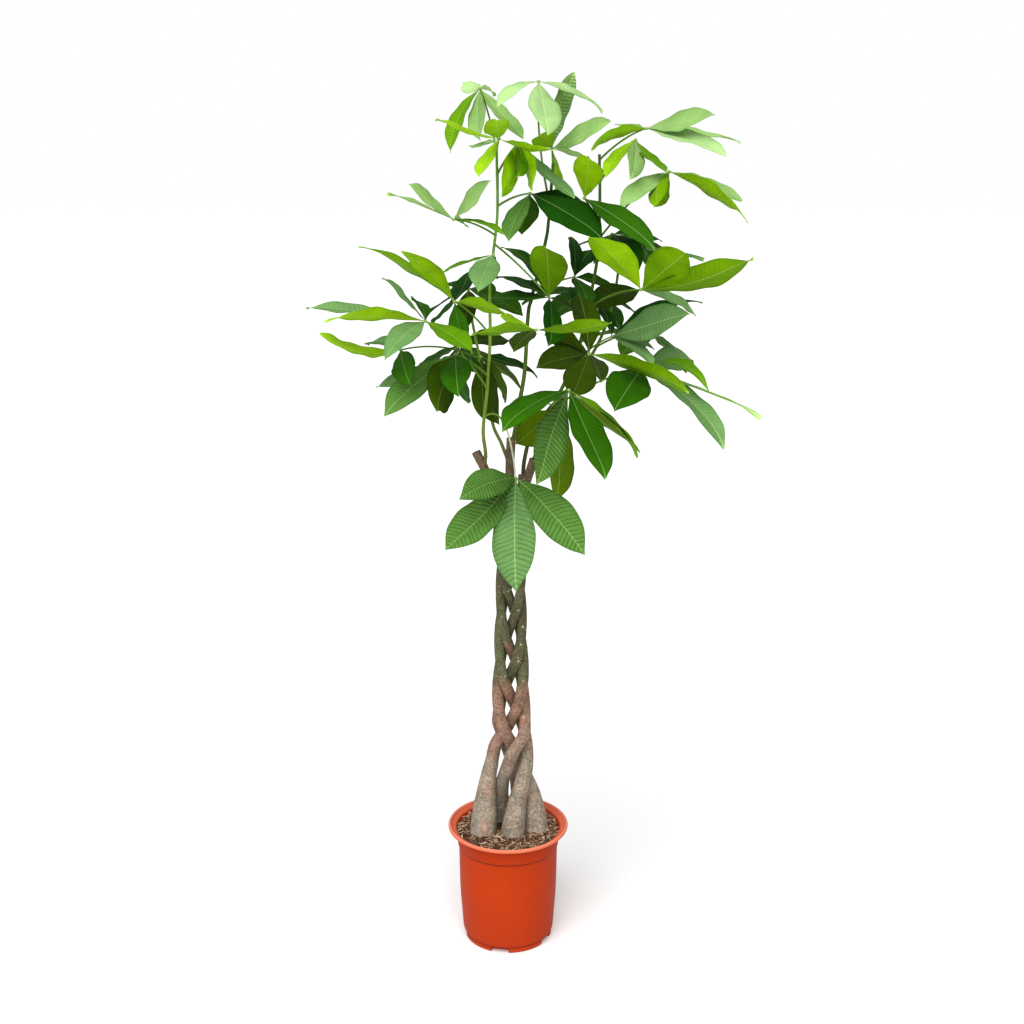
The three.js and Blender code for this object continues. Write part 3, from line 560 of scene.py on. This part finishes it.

# Shoots: one slim green shoot from the sawn end of each stem, with old leaf scars as rings.
SHOOT_SIDES = 14
SHOOT_RINGS = 220
SHOOT_TINTS = (1.1, 0.5, 0.5, 1.2, 0.6)
SHOOTS = (
    (3.6, 2.4, ((-44, -12, 997), (-42, -16, 1024), (-46, -25, 1069), (-38, -40, 1148), (-32, -50, 1242),
                (-32, -55, 1333), (-26, -60, 1396), (-18, -60, 1470), (-19, -60, 1575))),
    (4.4, 2.8, ((8, -7, 1036), (14, -5, 1066), (23, 0, 1122), (32, 10, 1177), (38, 15, 1279),
                (45, 15, 1313), (69, 10, 1412), (75, 5, 1455), (82, -5, 1555))),
    (4.2, 2.6, ((46, -19, 1000), (56, -15, 1030), (68, 0, 1074), (98, 20, 1131), (127, 30, 1193),
                (142, 32, 1249), (157, 30, 1324), (167, 20, 1398), (168, 10, 1489), (166, 10, 1570))),
    (3.8, 2.6, ((-5, 24, 957), (1, 28, 990), (-12, 32, 1030), (-28, 36, 1065), (-36, 46, 1115),
                (-53, 70, 1186), (-69, 90, 1261))),
    (4.2, 2.6, ((29, 22, 960), (32, 29, 1000), (46, 42, 1048), (78, 66, 1090), (131, 110, 1140),
                (181, 150, 1214), (208, 176, 1289), (221, 200, 1365))),
)


def green_shoot():
    """Smooth young bark, green and a little waxy, browner towards its foot, some shoots darker."""
    material, tree, shader = new_material("green_shoot")
    place = tree.nodes.new("ShaderNodeTexCoord")
    split = tree.nodes.new("ShaderNodeSeparateXYZ")
    tree.links.new(place.outputs["Object"], split.inputs[0])
    lowered = add_node(tree, "ShaderNodeMath", {1: 1.0}, operation="SUBTRACT")
    tree.links.new(split.outputs["Z"], lowered.inputs[0])
    by_height = colour_ramp(tree, lowered.outputs[0], (
        (0.0, (0.12, 0.11, 0.04)), (0.04, (0.14, 0.19, 0.025)), (0.12, (0.19, 0.30, 0.03)),
        (0.6, (0.15, 0.36, 0.03))))
    cloud = add_mottle(tree, 60.0, 2.0)
    shaded = mix_colours(tree, cloud.outputs["Mask"], (0.75, 0.75, 0.75), (1.2, 1.2, 1.15))
    tint = add_node(tree, "ShaderNodeAttribute", attribute_name="tint")
    clouded = mix_colours(tree, 1.0, by_height, shaded, "MULTIPLY")
    tree.links.new(mix_colours(tree, 1.0, clouded, tint.outputs["Color"], "MULTIPLY"), shader.inputs["Base Color"])
    shader.inputs["Roughness"].default_value = 0.5
    shader.inputs["Specular IOR Level"].default_value = 0.2
    add_bump(tree, shader, cloud.outputs["Height"], 0.3, 0.001)
    return material


shoot_paths = []
shoot_green = green_shoot()
for number, (foot, tip, points) in enumerate(SHOOTS, start=1):
    path = spline(points, SHOOT_RINGS)
    share = np.linspace(0, 1, SHOOT_RINGS)
    scars = 0.10 * np.exp(-((path[:, 2] % 58 - 29) / 1.6) ** 2)
    radius = (foot + (tip - foot) * share) * (1 + scars)
    collar = 1 + 0.35 * np.exp(-share * 45)
    make_piece(f"shoot_{number}_bark", [tube(path, radius * collar, SHOOT_SIDES)], shoot_green,
               "shoot", f"shoot_{number}", tint=np.full((SHOOT_RINGS * SHOOT_SIDES, 3), SHOOT_TINTS[number - 1]))
    shoot_paths.append(path)

# Leaves: each is a thin round stalk with leaflets spread from a knob at its end. A leaflet has a
# pale rib, slanting veins with the blade quilted between them, and edges that wave a little.
STALK_FOOT_RADIUS = 2.1
STALK_TIP_RADIUS = 1.5
STALK_RISE = 0.14
STALK_SIDES = 10
STALK_RINGS = 26
KNOB_RADIUS = 3.6
BLADE_ROWS = 40
BLADE_COLUMNS = 13
BLADE_START = 1.5
BLADE_THICKNESS = 0.5
BLADE_ARCH = 0.035
BLADE_FOLD = 14
BLADE_WAVE = 0.02
WAVE_RATE = 9
WIDEST_SHIFT = 1.2
OUTER_ROUNDNESS = 0.35
TIP_POINT = 0.55
EDGE_RIPPLE = 0.02
VEINS_A_SIDE = 23
MATURE_VEINS = 0.4
MATURE_TONES = "glsmd"
FLAT_VEINS = 0.15
# How much the two halves of a blade are painted lighter and darker, as painted light and shade on its fold
FOLD_PAINTED_SHADE_APART = 0.16
WHORL_DROOP = 22
WHORL_LEAN = 0.35
CROWN_AXIS_X = 20
# The upper and the under side of a leaflet, by its tone: whitish with a painted highlight, pale with painted
# sheen, young and painted brighter as if lit through, lively, grey with painted sheen, silky with painted sheen,
# middle, dark deepened by painted shade, vivid olive, and dull olive in painted shade. Most under sides are
# painted lighter, as painted light coming through the blade; a few are darker.
LEAF_GREENS_AND_PAINTED_LIGHT = {
    "w": ((0.40, 0.64, 0.25), (0.34, 0.60, 0.10)),
    "p": ((0.29, 0.51, 0.15), (0.30, 0.58, 0.06)),
    "y": ((0.29, 0.54, 0.006), (0.35, 0.66, 0.004)),
    "l": ((0.12, 0.30, 0.002), (0.19, 0.40, 0.001)),
    "g": ((0.15, 0.31, 0.095), (0.13, 0.29, 0.05)),
    "s": ((0.10, 0.235, 0.042), (0.10, 0.24, 0.02)),
    "m": ((0.028, 0.125, 0.001), (0.045, 0.15, 0.001)),
    "d": ((0.009, 0.068, 0.001), (0.016, 0.080, 0.001)),
    "v": ((0.10, 0.18, 0.001), (0.11, 0.21, 0.001)),
    "o": ((0.038, 0.082, 0.001), (0.044, 0.098, 0.001)),
}
# Each leaf: its shoot, the height of its foot, its knob, its leaflets' tones (colours with their painted sheen and
# shade), a capital for one with deep pleats, the bend of its stalk where that isn't the usual rise, and its
# leaflets. A leaflet is the place of its tip from the knob, its width, its turn about its rib in degrees and,
# where it isn't the usual one, its arch. A leaf at the back of the crown has one tone and an even whorl: count,
# length, width and first angle.
LEAVES = (
    (0, 1500, (-50, 45, 1685), "wlppp", (20, 40, 0), (
        (-35, 80, 15, 35, -10, -0.12), (-55, -50, -110, 45, -35, 0.1), (0, -85, -90, 45, 5),
        (80, -50, -85, 50, 10, -0.03), (25, 85, -10, 25, 65, 0.06),)),
    (0, 1575, (-15, -60, 1597), "yyypy", None, (
        (-5, -145, 35, 47, 0, -0.02), (-35, -95, -60, 40, 15, 0), (-105, -75, 35, 35, -10, -0.05),
        (-55, 80, -10, 35, 5, -0.06), (95, -95, -15, 40, -50, -0.06),)),
    (0, 1535, (20, -20, 1590), "ylyg", None, (
        (-35, -115, -90, 55, 105, -0.06), (0, -110, -55, 40, -60), (25, -100, -80, 50, -100),
        (100, -65, -90, 50, -20, -0.06),)),
    (1, 1480, (55, -10, 1695), "www", (-15, 30, 0), (
        (15, -125, -90, 62, 10, 0), (-75, -60, -45, 35, 15, 0.11), (120, 65, -48, 45, 10, 0.05),)),
    (1, 1553, (80, 0, 1580), "Pyppy", None, (
        (45, 65, 135, 60, 35, -0.08), (-25, -80, 25, 45, 60), (95, -90, 50, 50, 80, -0.02),
        (90, 85, -35, 45, 10), (10, 65, -90, 40, 20),)),
    (2, 1560, (250, 20, 1615), "ppwyp", None, (
        (110, -90, 25, 55, 65, -0.02), (180, 40, -20, 60, 10, 0), (130, -110, -40, 60, 35, 0.02),
        (-105, -80, -35, 50, 55, 0.06), (-50, 85, 10, 35, -30, -0.02),)),
    (2, 1520, (230, 0, 1595), "yPly", None, (
        (-60, -85, -60, 40, 35, 0.05), (-15, -110, -65, 40, -10), (50, -85, -50, 40, 15, -0.07),
        (-25, 100, -35, 35, -60),)),
    (2, 1420, (290, -20, 1540), "plypy", None, (
        (-95, -90, -55, 45, 5), (-30, -100, -60, 45, -115, -0.12), (-15, 90, -65, 40, 30, 0),
        (145, 60, -50, 55, 20, 0), (130, -110, -80, 70, -20, 0.04),)),
    (0, 1430, (-95, -90, 1460), "ppplp", None, (
        (65, -55, 70, 40, 35, 0), (-70, -75, 65, 40, -60, -0.02), (-120, 60, 45, 40, 35, 0),
        (90, -50, -20, 30, -20, 0.06), (20, 75, -15, 30, 60),)),
    (2, 1430, (135, -80, 1496), "ymmmm", None, (
        (0, -130, 75, 55, 10), (15, 105, 70, 45, 50), (115, -120, -75, 60, 25, 0.03),
        (125, 105, -100, 60, -15), (120, 80, -55, 40, 15, -0.03),)),
    (0, 1480, (40, -50, 1503), "smdd", None, (
        (-40, -85, -75, 50, 30), (-15, 75, -75, 55, -10), (125, -95, -70, 80, 15),
        (115, 50, -42, 60, 25, 0.01),)),
    (0, 1385, (-25, -110, 1400), "glm", None, (
        (-25, -105, -50, 55, -10), (-100, 55, -38, 40, 15, 0.015), (5, 40, -45, 40, -50),)),
    (0, 1415, (75, -60, 1320), "lmmdod", (0, 0, 10), (
        (-10, -135, 105, 70, 20), (-85, 110, 85, 52, 10, 0.09), (-120, 110, -10, 55, -15, -0.02),
        (0, -110, -70, 60, -30), (60, 80, -45, 45, 0), (-95, 115, 28, 56, 0),)),
    (1, 1310, (125, 60, 1345), "ddmm", None, (
        (0, 110, 70, 45, 15), (40, 120, 45, 50, -25), (85, 95, -30, 40, 30), (20, -135, -35, 50, 5),)),
    (2, 1385, (195, 60, 1425), "dmgd", None, (
        (40, -135, -50, 55, 45), (105, 90, -18, 55, 15), (180, 35, -45, 65, 10, -0.07),
        (0, 110, -60, 40, -105),)),
    (2, 1290, (240, -70, 1335), "yllog", None, (
        (-100, -95, 105, 75, 40), (65, -135, 80, 75, -20, 0), (180, -110, 70, 75, -25, -0.08),
        (-85, 120, -40, 60, 25), (115, 90, -55, 55, 10),)),
    (2, 1185, (195, 10, 1240), "gdggd", None, (
        (125, -130, 60, 70, 85, 0), (175, 70, 60, 65, -5, 0.08), (70, -105, -35, 45, 20),
        (90, 85, -35, 45, 10), (-20, 115, 55, 40, 0),)),
    (2, 1100, (250, 0, 1180), "glpgm", None, (
        (110, 100, 5, 60, 25, 0.08), (115, -95, -20, 50, 20, 0.2), (215, -85, -70, 40, 0, 0.01),
        (142, -145, -115, 75, 15, 0.08), (-60, -160, -45, 85, 5),)),
    (2, 1150, (150, -40, 1215), "looooo", None, (
        (175, -100, -50, 70, -35, 0.03), (-95, 80, -36, 60, 40), (-30, 5, -80, 65, 50),
        (30, 115, -70, 45, -25), (-25, -110, 125, 60, 20), (-80, 80, 25, 55, 60),)),
    (1, 1215, (50, -160, 1275), "llyo", None, (
        (-110, -105, 10, 55, 50, 0), (125, -100, 30, 55, -45, -0.06), (-60, 105, 15, 45, 65, -0.08),
        (-40, 100, -50, 45, 15),)),
    (0, 1250, (-95, -80, 1315), "lyddym", None, (
        (-175, 90, 95, 45, 65), (-85, -105, 101, 47, 0, 0.045), (25, 120, 45, 55, -5, -0.02),
        (-45, 105, -40, 55, -15, -0.05), (95, -90, -10, 45, -70, 0.02), (20, -25, -80, 50, 20),)),
    (0, 1150, (-145, -120, 1285), "yggmgl", None, (
        (-165, -110, 18, 65, 25, 0.03), (-215, 35, 25, 70, 15, 0), (-65, -75, 85, 40, -55, 0),
        (-30, 100, 30, 40, 55, 0.07), (-62, -130, -45, 50, -30, 0.08), (85, -90, -40, 55, -20, 0.03),)),
    (3, 1190, (-195, -60, 1225), "ygm", None, (
        (-135, -75, 45, 65, -25, -0.14), (-70, 95, -2, 60, 15, 0.08), (25, -130, -40, 50, 10),)),
    (0, 1175, (-95, -50, 1215), "sgomdm", None, (
        (-125, -105, -90, 70, -30, 0.04), (-155, 50, -65, 50, -10, -0.05), (-30, -140, -80, 80, 95),
        (10, -160, -45, 60, -10), (-25, 85, -36, 40, 25), (20, 70, -105, 50, -100),)),
    (3, 1160, (-50, -10, 1205), "oood", None, (
        (50, -115, -65, 50, -110), (30, 35, -135, 70, 5), (5, -5, -120, 45, -80),
        (110, 115, -55, 60, 45),)),
    (4, 1085, (95, 25, 1102), "vvo", None, (
        (5, 90, -205, 70, 0, 0.03), (-80, 0, -71, 70, -115), (-55, 50, 5, 40, 0),)),
    (2, 1100, (110, -110, 1160), "mSmlv", None, (
        (-120, -125, -45, 80, 25, 0.06), (-55, -120, -145, 75, -30, -0.05),
        (64, -125, -130, 82, -5, -0.01), (135, 40, -130, 60, -10, 0.05),
        (140, 70, -125, 50, -40, -0.03),)),
    (0, 1095, (15, -100, 995), "SSGS", (15, 0, 90), (
        (-100, -90, -15, 65, -20, 0.11), (-129, -90, -110, 80, -5, -0.06), (0, -125, -180, 84, 15),
        (125, -85, -120, 78, 15, 0.08),)),
    (4, 1345, (255, 235, 1405), "m", None, (5, 130, 60, 50)),
    (4, 1230, (160, 280, 1300), "d", None, (5, 140, 60, 45)),
    (4, 1200, (280, 190, 1225), "m", None, (5, 135, 60, 30)),
    (3, 1250, (-75, 90, 1320), "modmd", None, (
        (105, 60, -55, 55, 0), (0, -105, -60, 50, 0), (-80, -80, -45, 50, 0), (50, 90, -15, 40, 0),
        (-60, 90, 0, 50, 0),)),
    (3, 1180, (-90, 120, 1210), "odmdo", None, (
        (95, 70, 0, 60, 50), (30, 80, -70, 55, 0), (-40, -95, -65, 55, 0), (-90, 50, -65, 55, 0),
        (120, 10, -90, 60, 10),)),
)


def outward(knob):
    """The level direction away from the crown's axis."""
    away = np.array([knob[0] - CROWN_AXIS_X, knob[1], 0.0])
    length = np.linalg.norm(away)
    return away / length if length > 30 else np.array([0.0, -1.0, 0.0])


def turned_about(vector, axis, degrees):
    """A vector turned about an axis of length one."""
    angle = np.radians(degrees)
    return (vector * np.cos(angle) + np.cross(axis, vector) * np.sin(angle)
            + axis * (axis @ vector) * (1 - np.cos(angle)))


def whorl(knob, count, reach, width, start):
    """Leaflets spread evenly round a knob that leans away from the crown, and drooping a little."""
    axis = unit(np.array([0, 0, 1.0]) + WHORL_LEAN * outward(knob))
    first = unit(np.cross([0, 1.0, 0], axis))
    droop = np.radians(WHORL_DROOP)
    leaflets = []
    for i in range(count):
        around = turned_about(first, axis, start + 360 / count * i)
        tip = reach * (around * np.cos(droop) - axis * np.sin(droop))
        leaflets.append((*tip, width, 0))
    return leaflets


def blade(knob, leaflet, order, seed):
    """A closed blade. Its half width at the share s of its length is half the width times
    sin(pi s^1.2) to the power 1 - 0.35 s + 0.55 s^10, which keeps it full far out and then brings it
    to a point. It arches along its rib and droops at its tip, folds up to its edges, curls down again
    at the very edge, and its edges rise and fall in slow waves."""
    dx, dy, dz, width, turn, *rest = leaflet
    arch = rest[0] if rest else BLADE_ARCH
    draw = np.random.default_rng(seed)
    along = np.array([dx, dy, dz], dtype=float)
    length = np.linalg.norm(along)
    along /= length
    up = np.array([0, 0, 1.0]) + 0.5 * outward(knob)
    face = turned_about(unit(up - (up @ along) * along), along, turn)
    side = np.cross(along, face)
    share = np.linspace(0, 1, BLADE_ROWS) ** 0.9
    swell = np.sin(np.pi * np.minimum(share, 0.9995) ** WIDEST_SHIFT)
    half = 0.5 * width * swell ** (1 - OUTER_ROUNDNESS * share + TIP_POINT * share**10)
    half = np.maximum(half, 1.2 * (1 - share) + 0.15)
    column = np.linspace(-1, 1, BLADE_COLUMNS)
    s, c = np.meshgrid(share, column, indexing="ij")
    spread = half[:, None] * c
    reach = BLADE_START + (length - BLADE_START) * s
    rise = 4 * arch * length * s * (1 - s) - 0.03 * length * np.clip((s - 0.75) / 0.25, 0, 1) ** 2
    fold = np.radians(BLADE_FOLD)
    lift = np.abs(spread) * np.sin(fold) - 0.10 * np.abs(spread) * c**2
    lift += c * BLADE_WAVE * length * s * np.sin(WAVE_RATE * s + order)
    ripple = np.sin(23 * s + 3 * np.sign(c) + draw.uniform(0, 6))
    lift += EDGE_RIPPLE * width * c**2 * np.sin(np.pi * s) * ripple
    middle = (np.array(knob) + along * reach[..., None] + face * (rise + lift)[..., None]
              + side * (spread * np.cos(fold))[..., None])
    upper = middle + face * BLADE_THICKNESS / 2
    lower = middle - face * BLADE_THICKNESS / 2
    skin = np.concatenate([upper, lower[:, ::-1]], axis=1)
    place = np.stack([s, spread / length, np.abs(c)], axis=-1)
    return skin, np.concatenate([place, place[:, ::-1]], axis=1)


def blade_colours(tone, seed):
    """Colours of a blade's points: its upper side, then its under side. It is darker at the stalk end, and one
    half beside its rib is painted lighter and the other darker, as painted light and shade on a folded blade."""
    draw = np.random.default_rng(seed)
    # The tone's colours carry painted sheen, highlight and shade
    top, under = (np.array(colour) * draw.uniform(0.88, 1.12) for colour in LEAF_GREENS_AND_PAINTED_LIGHT[tone])
    along = np.linspace(0.86, 1.06, BLADE_ROWS)[:, None, None]
    # Painted light and shade: one half of the blade lighter, the other darker
    across = 1 + draw.uniform(-FOLD_PAINTED_SHADE_APART, FOLD_PAINTED_SHADE_APART) * np.linspace(-1, 1, BLADE_COLUMNS)[:, None]
    return np.concatenate([across * top, across[::-1] * under])[None] * along


def leaf_blade_material():
    """Leaf: the colour of each side comes with the mesh, and so does the depth of its pleats. The rib is pale, and
    faint pale veins leave it. Where the blade is pleated, painted shade darkens it along the veins, and it swells
    between them. It is mottled lighter and darker, partly at random and partly as a patchy painted sheen, and
    painted shade darkens it towards its edges."""
    material, tree, shader = new_material("leaf_blade")
    green = add_node(tree, "ShaderNodeAttribute", attribute_name="green")
    place = add_node(tree, "ShaderNodeAttribute", attribute_name="place")
    pleats = add_node(tree, "ShaderNodeAttribute", attribute_name="pleats")
    split = tree.nodes.new("ShaderNodeSeparateXYZ")
    tree.links.new(place.outputs["Vector"], split.inputs[0])
    cloud = add_mottle(tree, 26.0, 1.8)
    wander = add_mottle(tree, 34.0, 1.0)
    distance = add_node(tree, "ShaderNodeMath", operation="ABSOLUTE")
    tree.links.new(split.outputs["Y"], distance.inputs[0])
    slanted = add_node(tree, "ShaderNodeMath", {1: -0.45}, operation="MULTIPLY_ADD")
    tree.links.new(distance.outputs[0], slanted.inputs[0])
    tree.links.new(split.outputs["X"], slanted.inputs[2])
    wavering = add_node(tree, "ShaderNodeMath", {1: 0.06}, operation="MULTIPLY_ADD")
    tree.links.new(wander.outputs["Mask"], wavering.inputs[0])
    tree.links.new(slanted.outputs[0], wavering.inputs[2])
    counted = add_node(tree, "ShaderNodeMath", {1: 2.0 * VEINS_A_SIDE}, operation="MULTIPLY")
    tree.links.new(wavering.outputs[0], counted.inputs[0])
    between = add_node(tree, "ShaderNodeMath", {1: 1.0}, operation="PINGPONG")
    tree.links.new(counted.outputs[0], between.inputs[0])
    pleated = add_node(tree, "ShaderNodeMapRange", {"From Min": FLAT_VEINS, "From Max": 1.0})
    tree.links.new(pleats.outputs["Fac"], pleated.inputs["Value"])
    rib = add_node(tree, "ShaderNodeMapRange", {
        "From Min": 0.003, "From Max": 0.009, "To Min": 1.0, "To Max": 0.0})
    tree.links.new(distance.outputs[0], rib.inputs["Value"])
    # Mottled lighter and darker: partly tone that differs at random, partly a patchy painted sheen
    clouded = mix_colours(tree, cloud.outputs["Mask"], (0.76, 0.80, 0.76), (1.24, 1.18, 1.16))
    base = mix_colours(tree, 1.0, green.outputs["Color"], clouded, "MULTIPLY")
    # Painted shade: the blade darker towards its edges
    edge_painted_shade = colour_ramp(tree, split.outputs["Z"], (
        (0.0, (1, 1, 1)), (0.75, (1, 1, 1)), (1.0, (0.74, 0.80, 0.72))))
    blade_colour = mix_colours(tree, 1.0, base, edge_painted_shade, "MULTIPLY")
    crease = colour_ramp(tree, between.outputs[0], (
        (0.0, (1, 1, 1)), (0.10, (0.6, 0.6, 0.6)), (0.28, (0, 0, 0))))
    broken = colour_ramp(tree, wander.outputs["Height"], ((0.58, (0.12, 0.12, 0.12)), (0.76, (1, 1, 1))))
    part_crease = mix_colours(tree, 1.0, crease, broken, "MULTIPLY")
    # Painted shade along the creases of pleated blades: the crease lines, broken here and there, scaled by the
    # depth of the pleats
    crease_shade_amount = add_node(tree, "ShaderNodeMath", operation="MULTIPLY")
    tree.links.new(part_crease, crease_shade_amount.inputs[0])
    tree.links.new(pleated.outputs[0], crease_shade_amount.inputs[1])
    shadowed = mix_colours(tree, 1.0, blade_colour, (0.40, 0.54, 0.32), "MULTIPLY")
    painted_crease_shade = mix_colours(tree, crease_shade_amount.outputs[0], blade_colour, shadowed)
    pale = mix_colours(tree, 1.0, blade_colour, (1.6, 1.45, 1.5), "MULTIPLY")
    veined = add_node(tree, "ShaderNodeMath", {1: 0.22}, operation="MULTIPLY")
    tree.links.new(crease, veined.inputs[0])
    flat = add_node(tree, "ShaderNodeMath", {0: 1.0}, operation="SUBTRACT")
    tree.links.new(pleated.outputs[0], flat.inputs[1])
    faint = add_node(tree, "ShaderNodeMath", operation="MULTIPLY")
    tree.links.new(veined.outputs[0], faint.inputs[0])
    tree.links.new(flat.outputs[0], faint.inputs[1])
    lined = mix_colours(tree, faint.outputs[0], painted_crease_shade, pale)
    rib_colour = mix_colours(tree, 0.22, pale, (0.50, 0.68, 0.26))
    tree.links.new(mix_colours(tree, rib.outputs[0], lined, rib_colour), shader.inputs["Base Color"])
    quilt = add_node(tree, "ShaderNodeMath", {1: 0.6}, operation="POWER")
    tree.links.new(between.outputs[0], quilt.inputs[0])
    swollen = add_node(tree, "ShaderNodeMath", operation="MULTIPLY")
    tree.links.new(quilt.outputs[0], swollen.inputs[0])
    tree.links.new(pleats.outputs["Fac"], swollen.inputs[1])
    grooved = add_node(tree, "ShaderNodeMath", {1: -0.35}, operation="MULTIPLY_ADD")
    tree.links.new(rib.outputs[0], grooved.inputs[0])
    tree.links.new(swollen.outputs[0], grooved.inputs[2])
    shader.inputs["Roughness"].default_value = 0.6
    shader.inputs["Specular IOR Level"].default_value = 0.05
    add_bump(tree, shader, grooved.outputs[0], 1.0, 0.0024)
    return material


leaf_green = leaf_blade_material()
STALK_GREEN = np.array((0.13, 0.27, 0.03))
STALK_WHITE = np.array((0.55, 0.62, 0.40))
WHITE_STALKS = (28,)
KNOB_GREEN = np.array((0.30, 0.46, 0.13))
KNOB_RINGS = 9
KNOB_SIDES = 12
NO_VEINS = (0.5, 0.5, 0.0)
record_slots = {row["node"]: row["material_slot"] for row in frame["record"]["subparts"]}

for number, (shoot, foot_height, knob, tones, bend, leaflets) in enumerate(LEAVES, start=1):
    shoot_path = shoot_paths[shoot]
    foot = shoot_path[np.argmin(np.abs(shoot_path[:, 2] - foot_height))]
    end = np.array(knob, dtype=float)
    chord = end - foot
    lift = np.array(bend if bend else (0, 0, STALK_RISE * np.linalg.norm(chord)), dtype=float)
    t = np.linspace(0, 1, STALK_RINGS)[:, None]
    stalk_path = foot * (1 - t) ** 2 + 2 * t * (1 - t) * ((foot + end) / 2 + lift) + end * t**2
    level = unit(np.cross(chord, (0.0, 0.0, 1.0)))
    radius = np.linspace(STALK_FOOT_RADIUS, STALK_TIP_RADIUS, STALK_RINGS)
    radius[0] *= 1.3
    skins = [tube(stalk_path, radius, STALK_SIDES, level)]
    stalk_colour = STALK_WHITE if number in WHITE_STALKS else STALK_GREEN
    outer_part = np.repeat(np.clip((t - 0.4) / 0.2, 0, 1), STALK_SIDES, axis=0)
    greens = [STALK_GREEN + (stalk_colour - STALK_GREEN) * outer_part]
    places = [np.tile(NO_VEINS, (STALK_RINGS * STALK_SIDES, 1))]
    pleats = [np.zeros(STALK_RINGS * STALK_SIDES)]
    poles = np.linspace(0.06, np.pi - 0.06, KNOB_RINGS)
    ball = turned(np.column_stack([KNOB_RADIUS * np.sin(poles), -0.8 * KNOB_RADIUS * np.cos(poles)]), KNOB_SIDES)
    skins.append(ball + end)
    greens.append(np.tile(KNOB_GREEN, (KNOB_RINGS * KNOB_SIDES, 1)))
    places.append(np.tile(NO_VEINS, (KNOB_RINGS * KNOB_SIDES, 1)))
    pleats.append(np.zeros(KNOB_RINGS * KNOB_SIDES))
    rows = leaflets if isinstance(leaflets[0], tuple) else whorl(end, *leaflets)
    for order, leaflet in enumerate(rows):
        seed = 100 * number + order
        skin, place = blade(end, leaflet, order, seed)
        skins.append(skin)
        tone = tones[order] if len(tones) > 1 else tones
        greens.append(blade_colours(tone.lower(), seed).reshape(-1, 3))
        places.append(place.reshape(-1, 3))
        depth = 1.0 if tone.isupper() else MATURE_VEINS if tone in MATURE_TONES else FLAT_VEINS
        pleats.append(np.full(skin.shape[0] * skin.shape[1], depth))
    node_name = f"leaf_{number:02d}"
    make_piece(node_name + "_blades", skins, leaf_green, record_slots[node_name], node_name,
               green=np.concatenate(greens), place=np.concatenate(places), pleats=np.concatenate(pleats))

# Studio: a plain white floor that runs up to nothing, a white sky that lights the plant only half as
# much as it looks, and a high, broad, soft light from the left in front.
FLOOR_HALF = 30.0
SKY_LIGHT = 0.5
FLOOR_BOUNCE = 0.8
KEY_STRENGTH = 3.1
floor_mesh = bpy.data.meshes.new("studio_floor")
corners = [(-FLOOR_HALF, -FLOOR_HALF, 0), (FLOOR_HALF, -FLOOR_HALF, 0), (FLOOR_HALF, FLOOR_HALF, 0),
           (-FLOOR_HALF, FLOOR_HALF, 0)]
floor_mesh.from_pydata(corners, [], [(0, 1, 2, 3)])
floor_material, floor_tree, floor_shader = new_material("studio_floor")
floor_view = floor_tree.nodes.new("ShaderNodeLightPath")
floor_tone = mix_colours(floor_tree, floor_view.outputs["Is Camera Ray"], (FLOOR_BOUNCE,) * 3, (1, 1, 1))
floor_tree.links.new(floor_tone, floor_shader.inputs["Base Color"])
floor_shader.inputs["Roughness"].default_value = 1.0
floor_shader.inputs["Specular IOR Level"].default_value = 0.0
floor_mesh.materials.append(floor_material)
floor = bpy.data.objects.new("studio_floor", floor_mesh)
bpy.context.collection.objects.link(floor)

sky = bpy.data.worlds.new("studio_sky")
sky.use_nodes = True
sky_view = sky.node_tree.nodes.new("ShaderNodeLightPath")
sky_strength = add_node(sky.node_tree, "ShaderNodeMapRange", {"To Min": SKY_LIGHT, "To Max": 1.0})
sky.node_tree.links.new(sky_view.outputs["Is Camera Ray"], sky_strength.inputs["Value"])
backdrop = sky.node_tree.nodes["Background"]
backdrop.inputs["Color"].default_value = (1, 1, 1, 1)
sky.node_tree.links.new(sky_strength.outputs[0], backdrop.inputs["Strength"])
bpy.context.scene.world = sky

key_data = bpy.data.lights.new("key_light", "SUN")
key_data.angle = np.radians(60)
key_data.energy = KEY_STRENGTH
key_light = bpy.data.objects.new("key_light", key_data)
bpy.context.collection.objects.link(key_light)
key_light.location = (-0.5, -2.2, 3.3)
key_light.rotation_euler = (Vector((0, 0, 1.0)) - key_light.location).to_track_quat("-Z", "Y").to_euler()
bpy.context.scene.view_settings.view_transform = "Standard"

# Camera: 2.6 m in front of the pot and 1.6 m up, tilted 15 degrees down, as the photograph was taken.
camera_data = bpy.data.cameras.new("camera")
camera_data.lens = 49.2
camera_data.sensor_width = 36
camera = bpy.data.objects.new("camera", camera_data)
bpy.context.collection.objects.link(camera)
camera.location = (0.008, -2.6, 1.6)
camera.rotation_euler = (np.radians(75), 0, 0)
bpy.context.scene.camera = camera
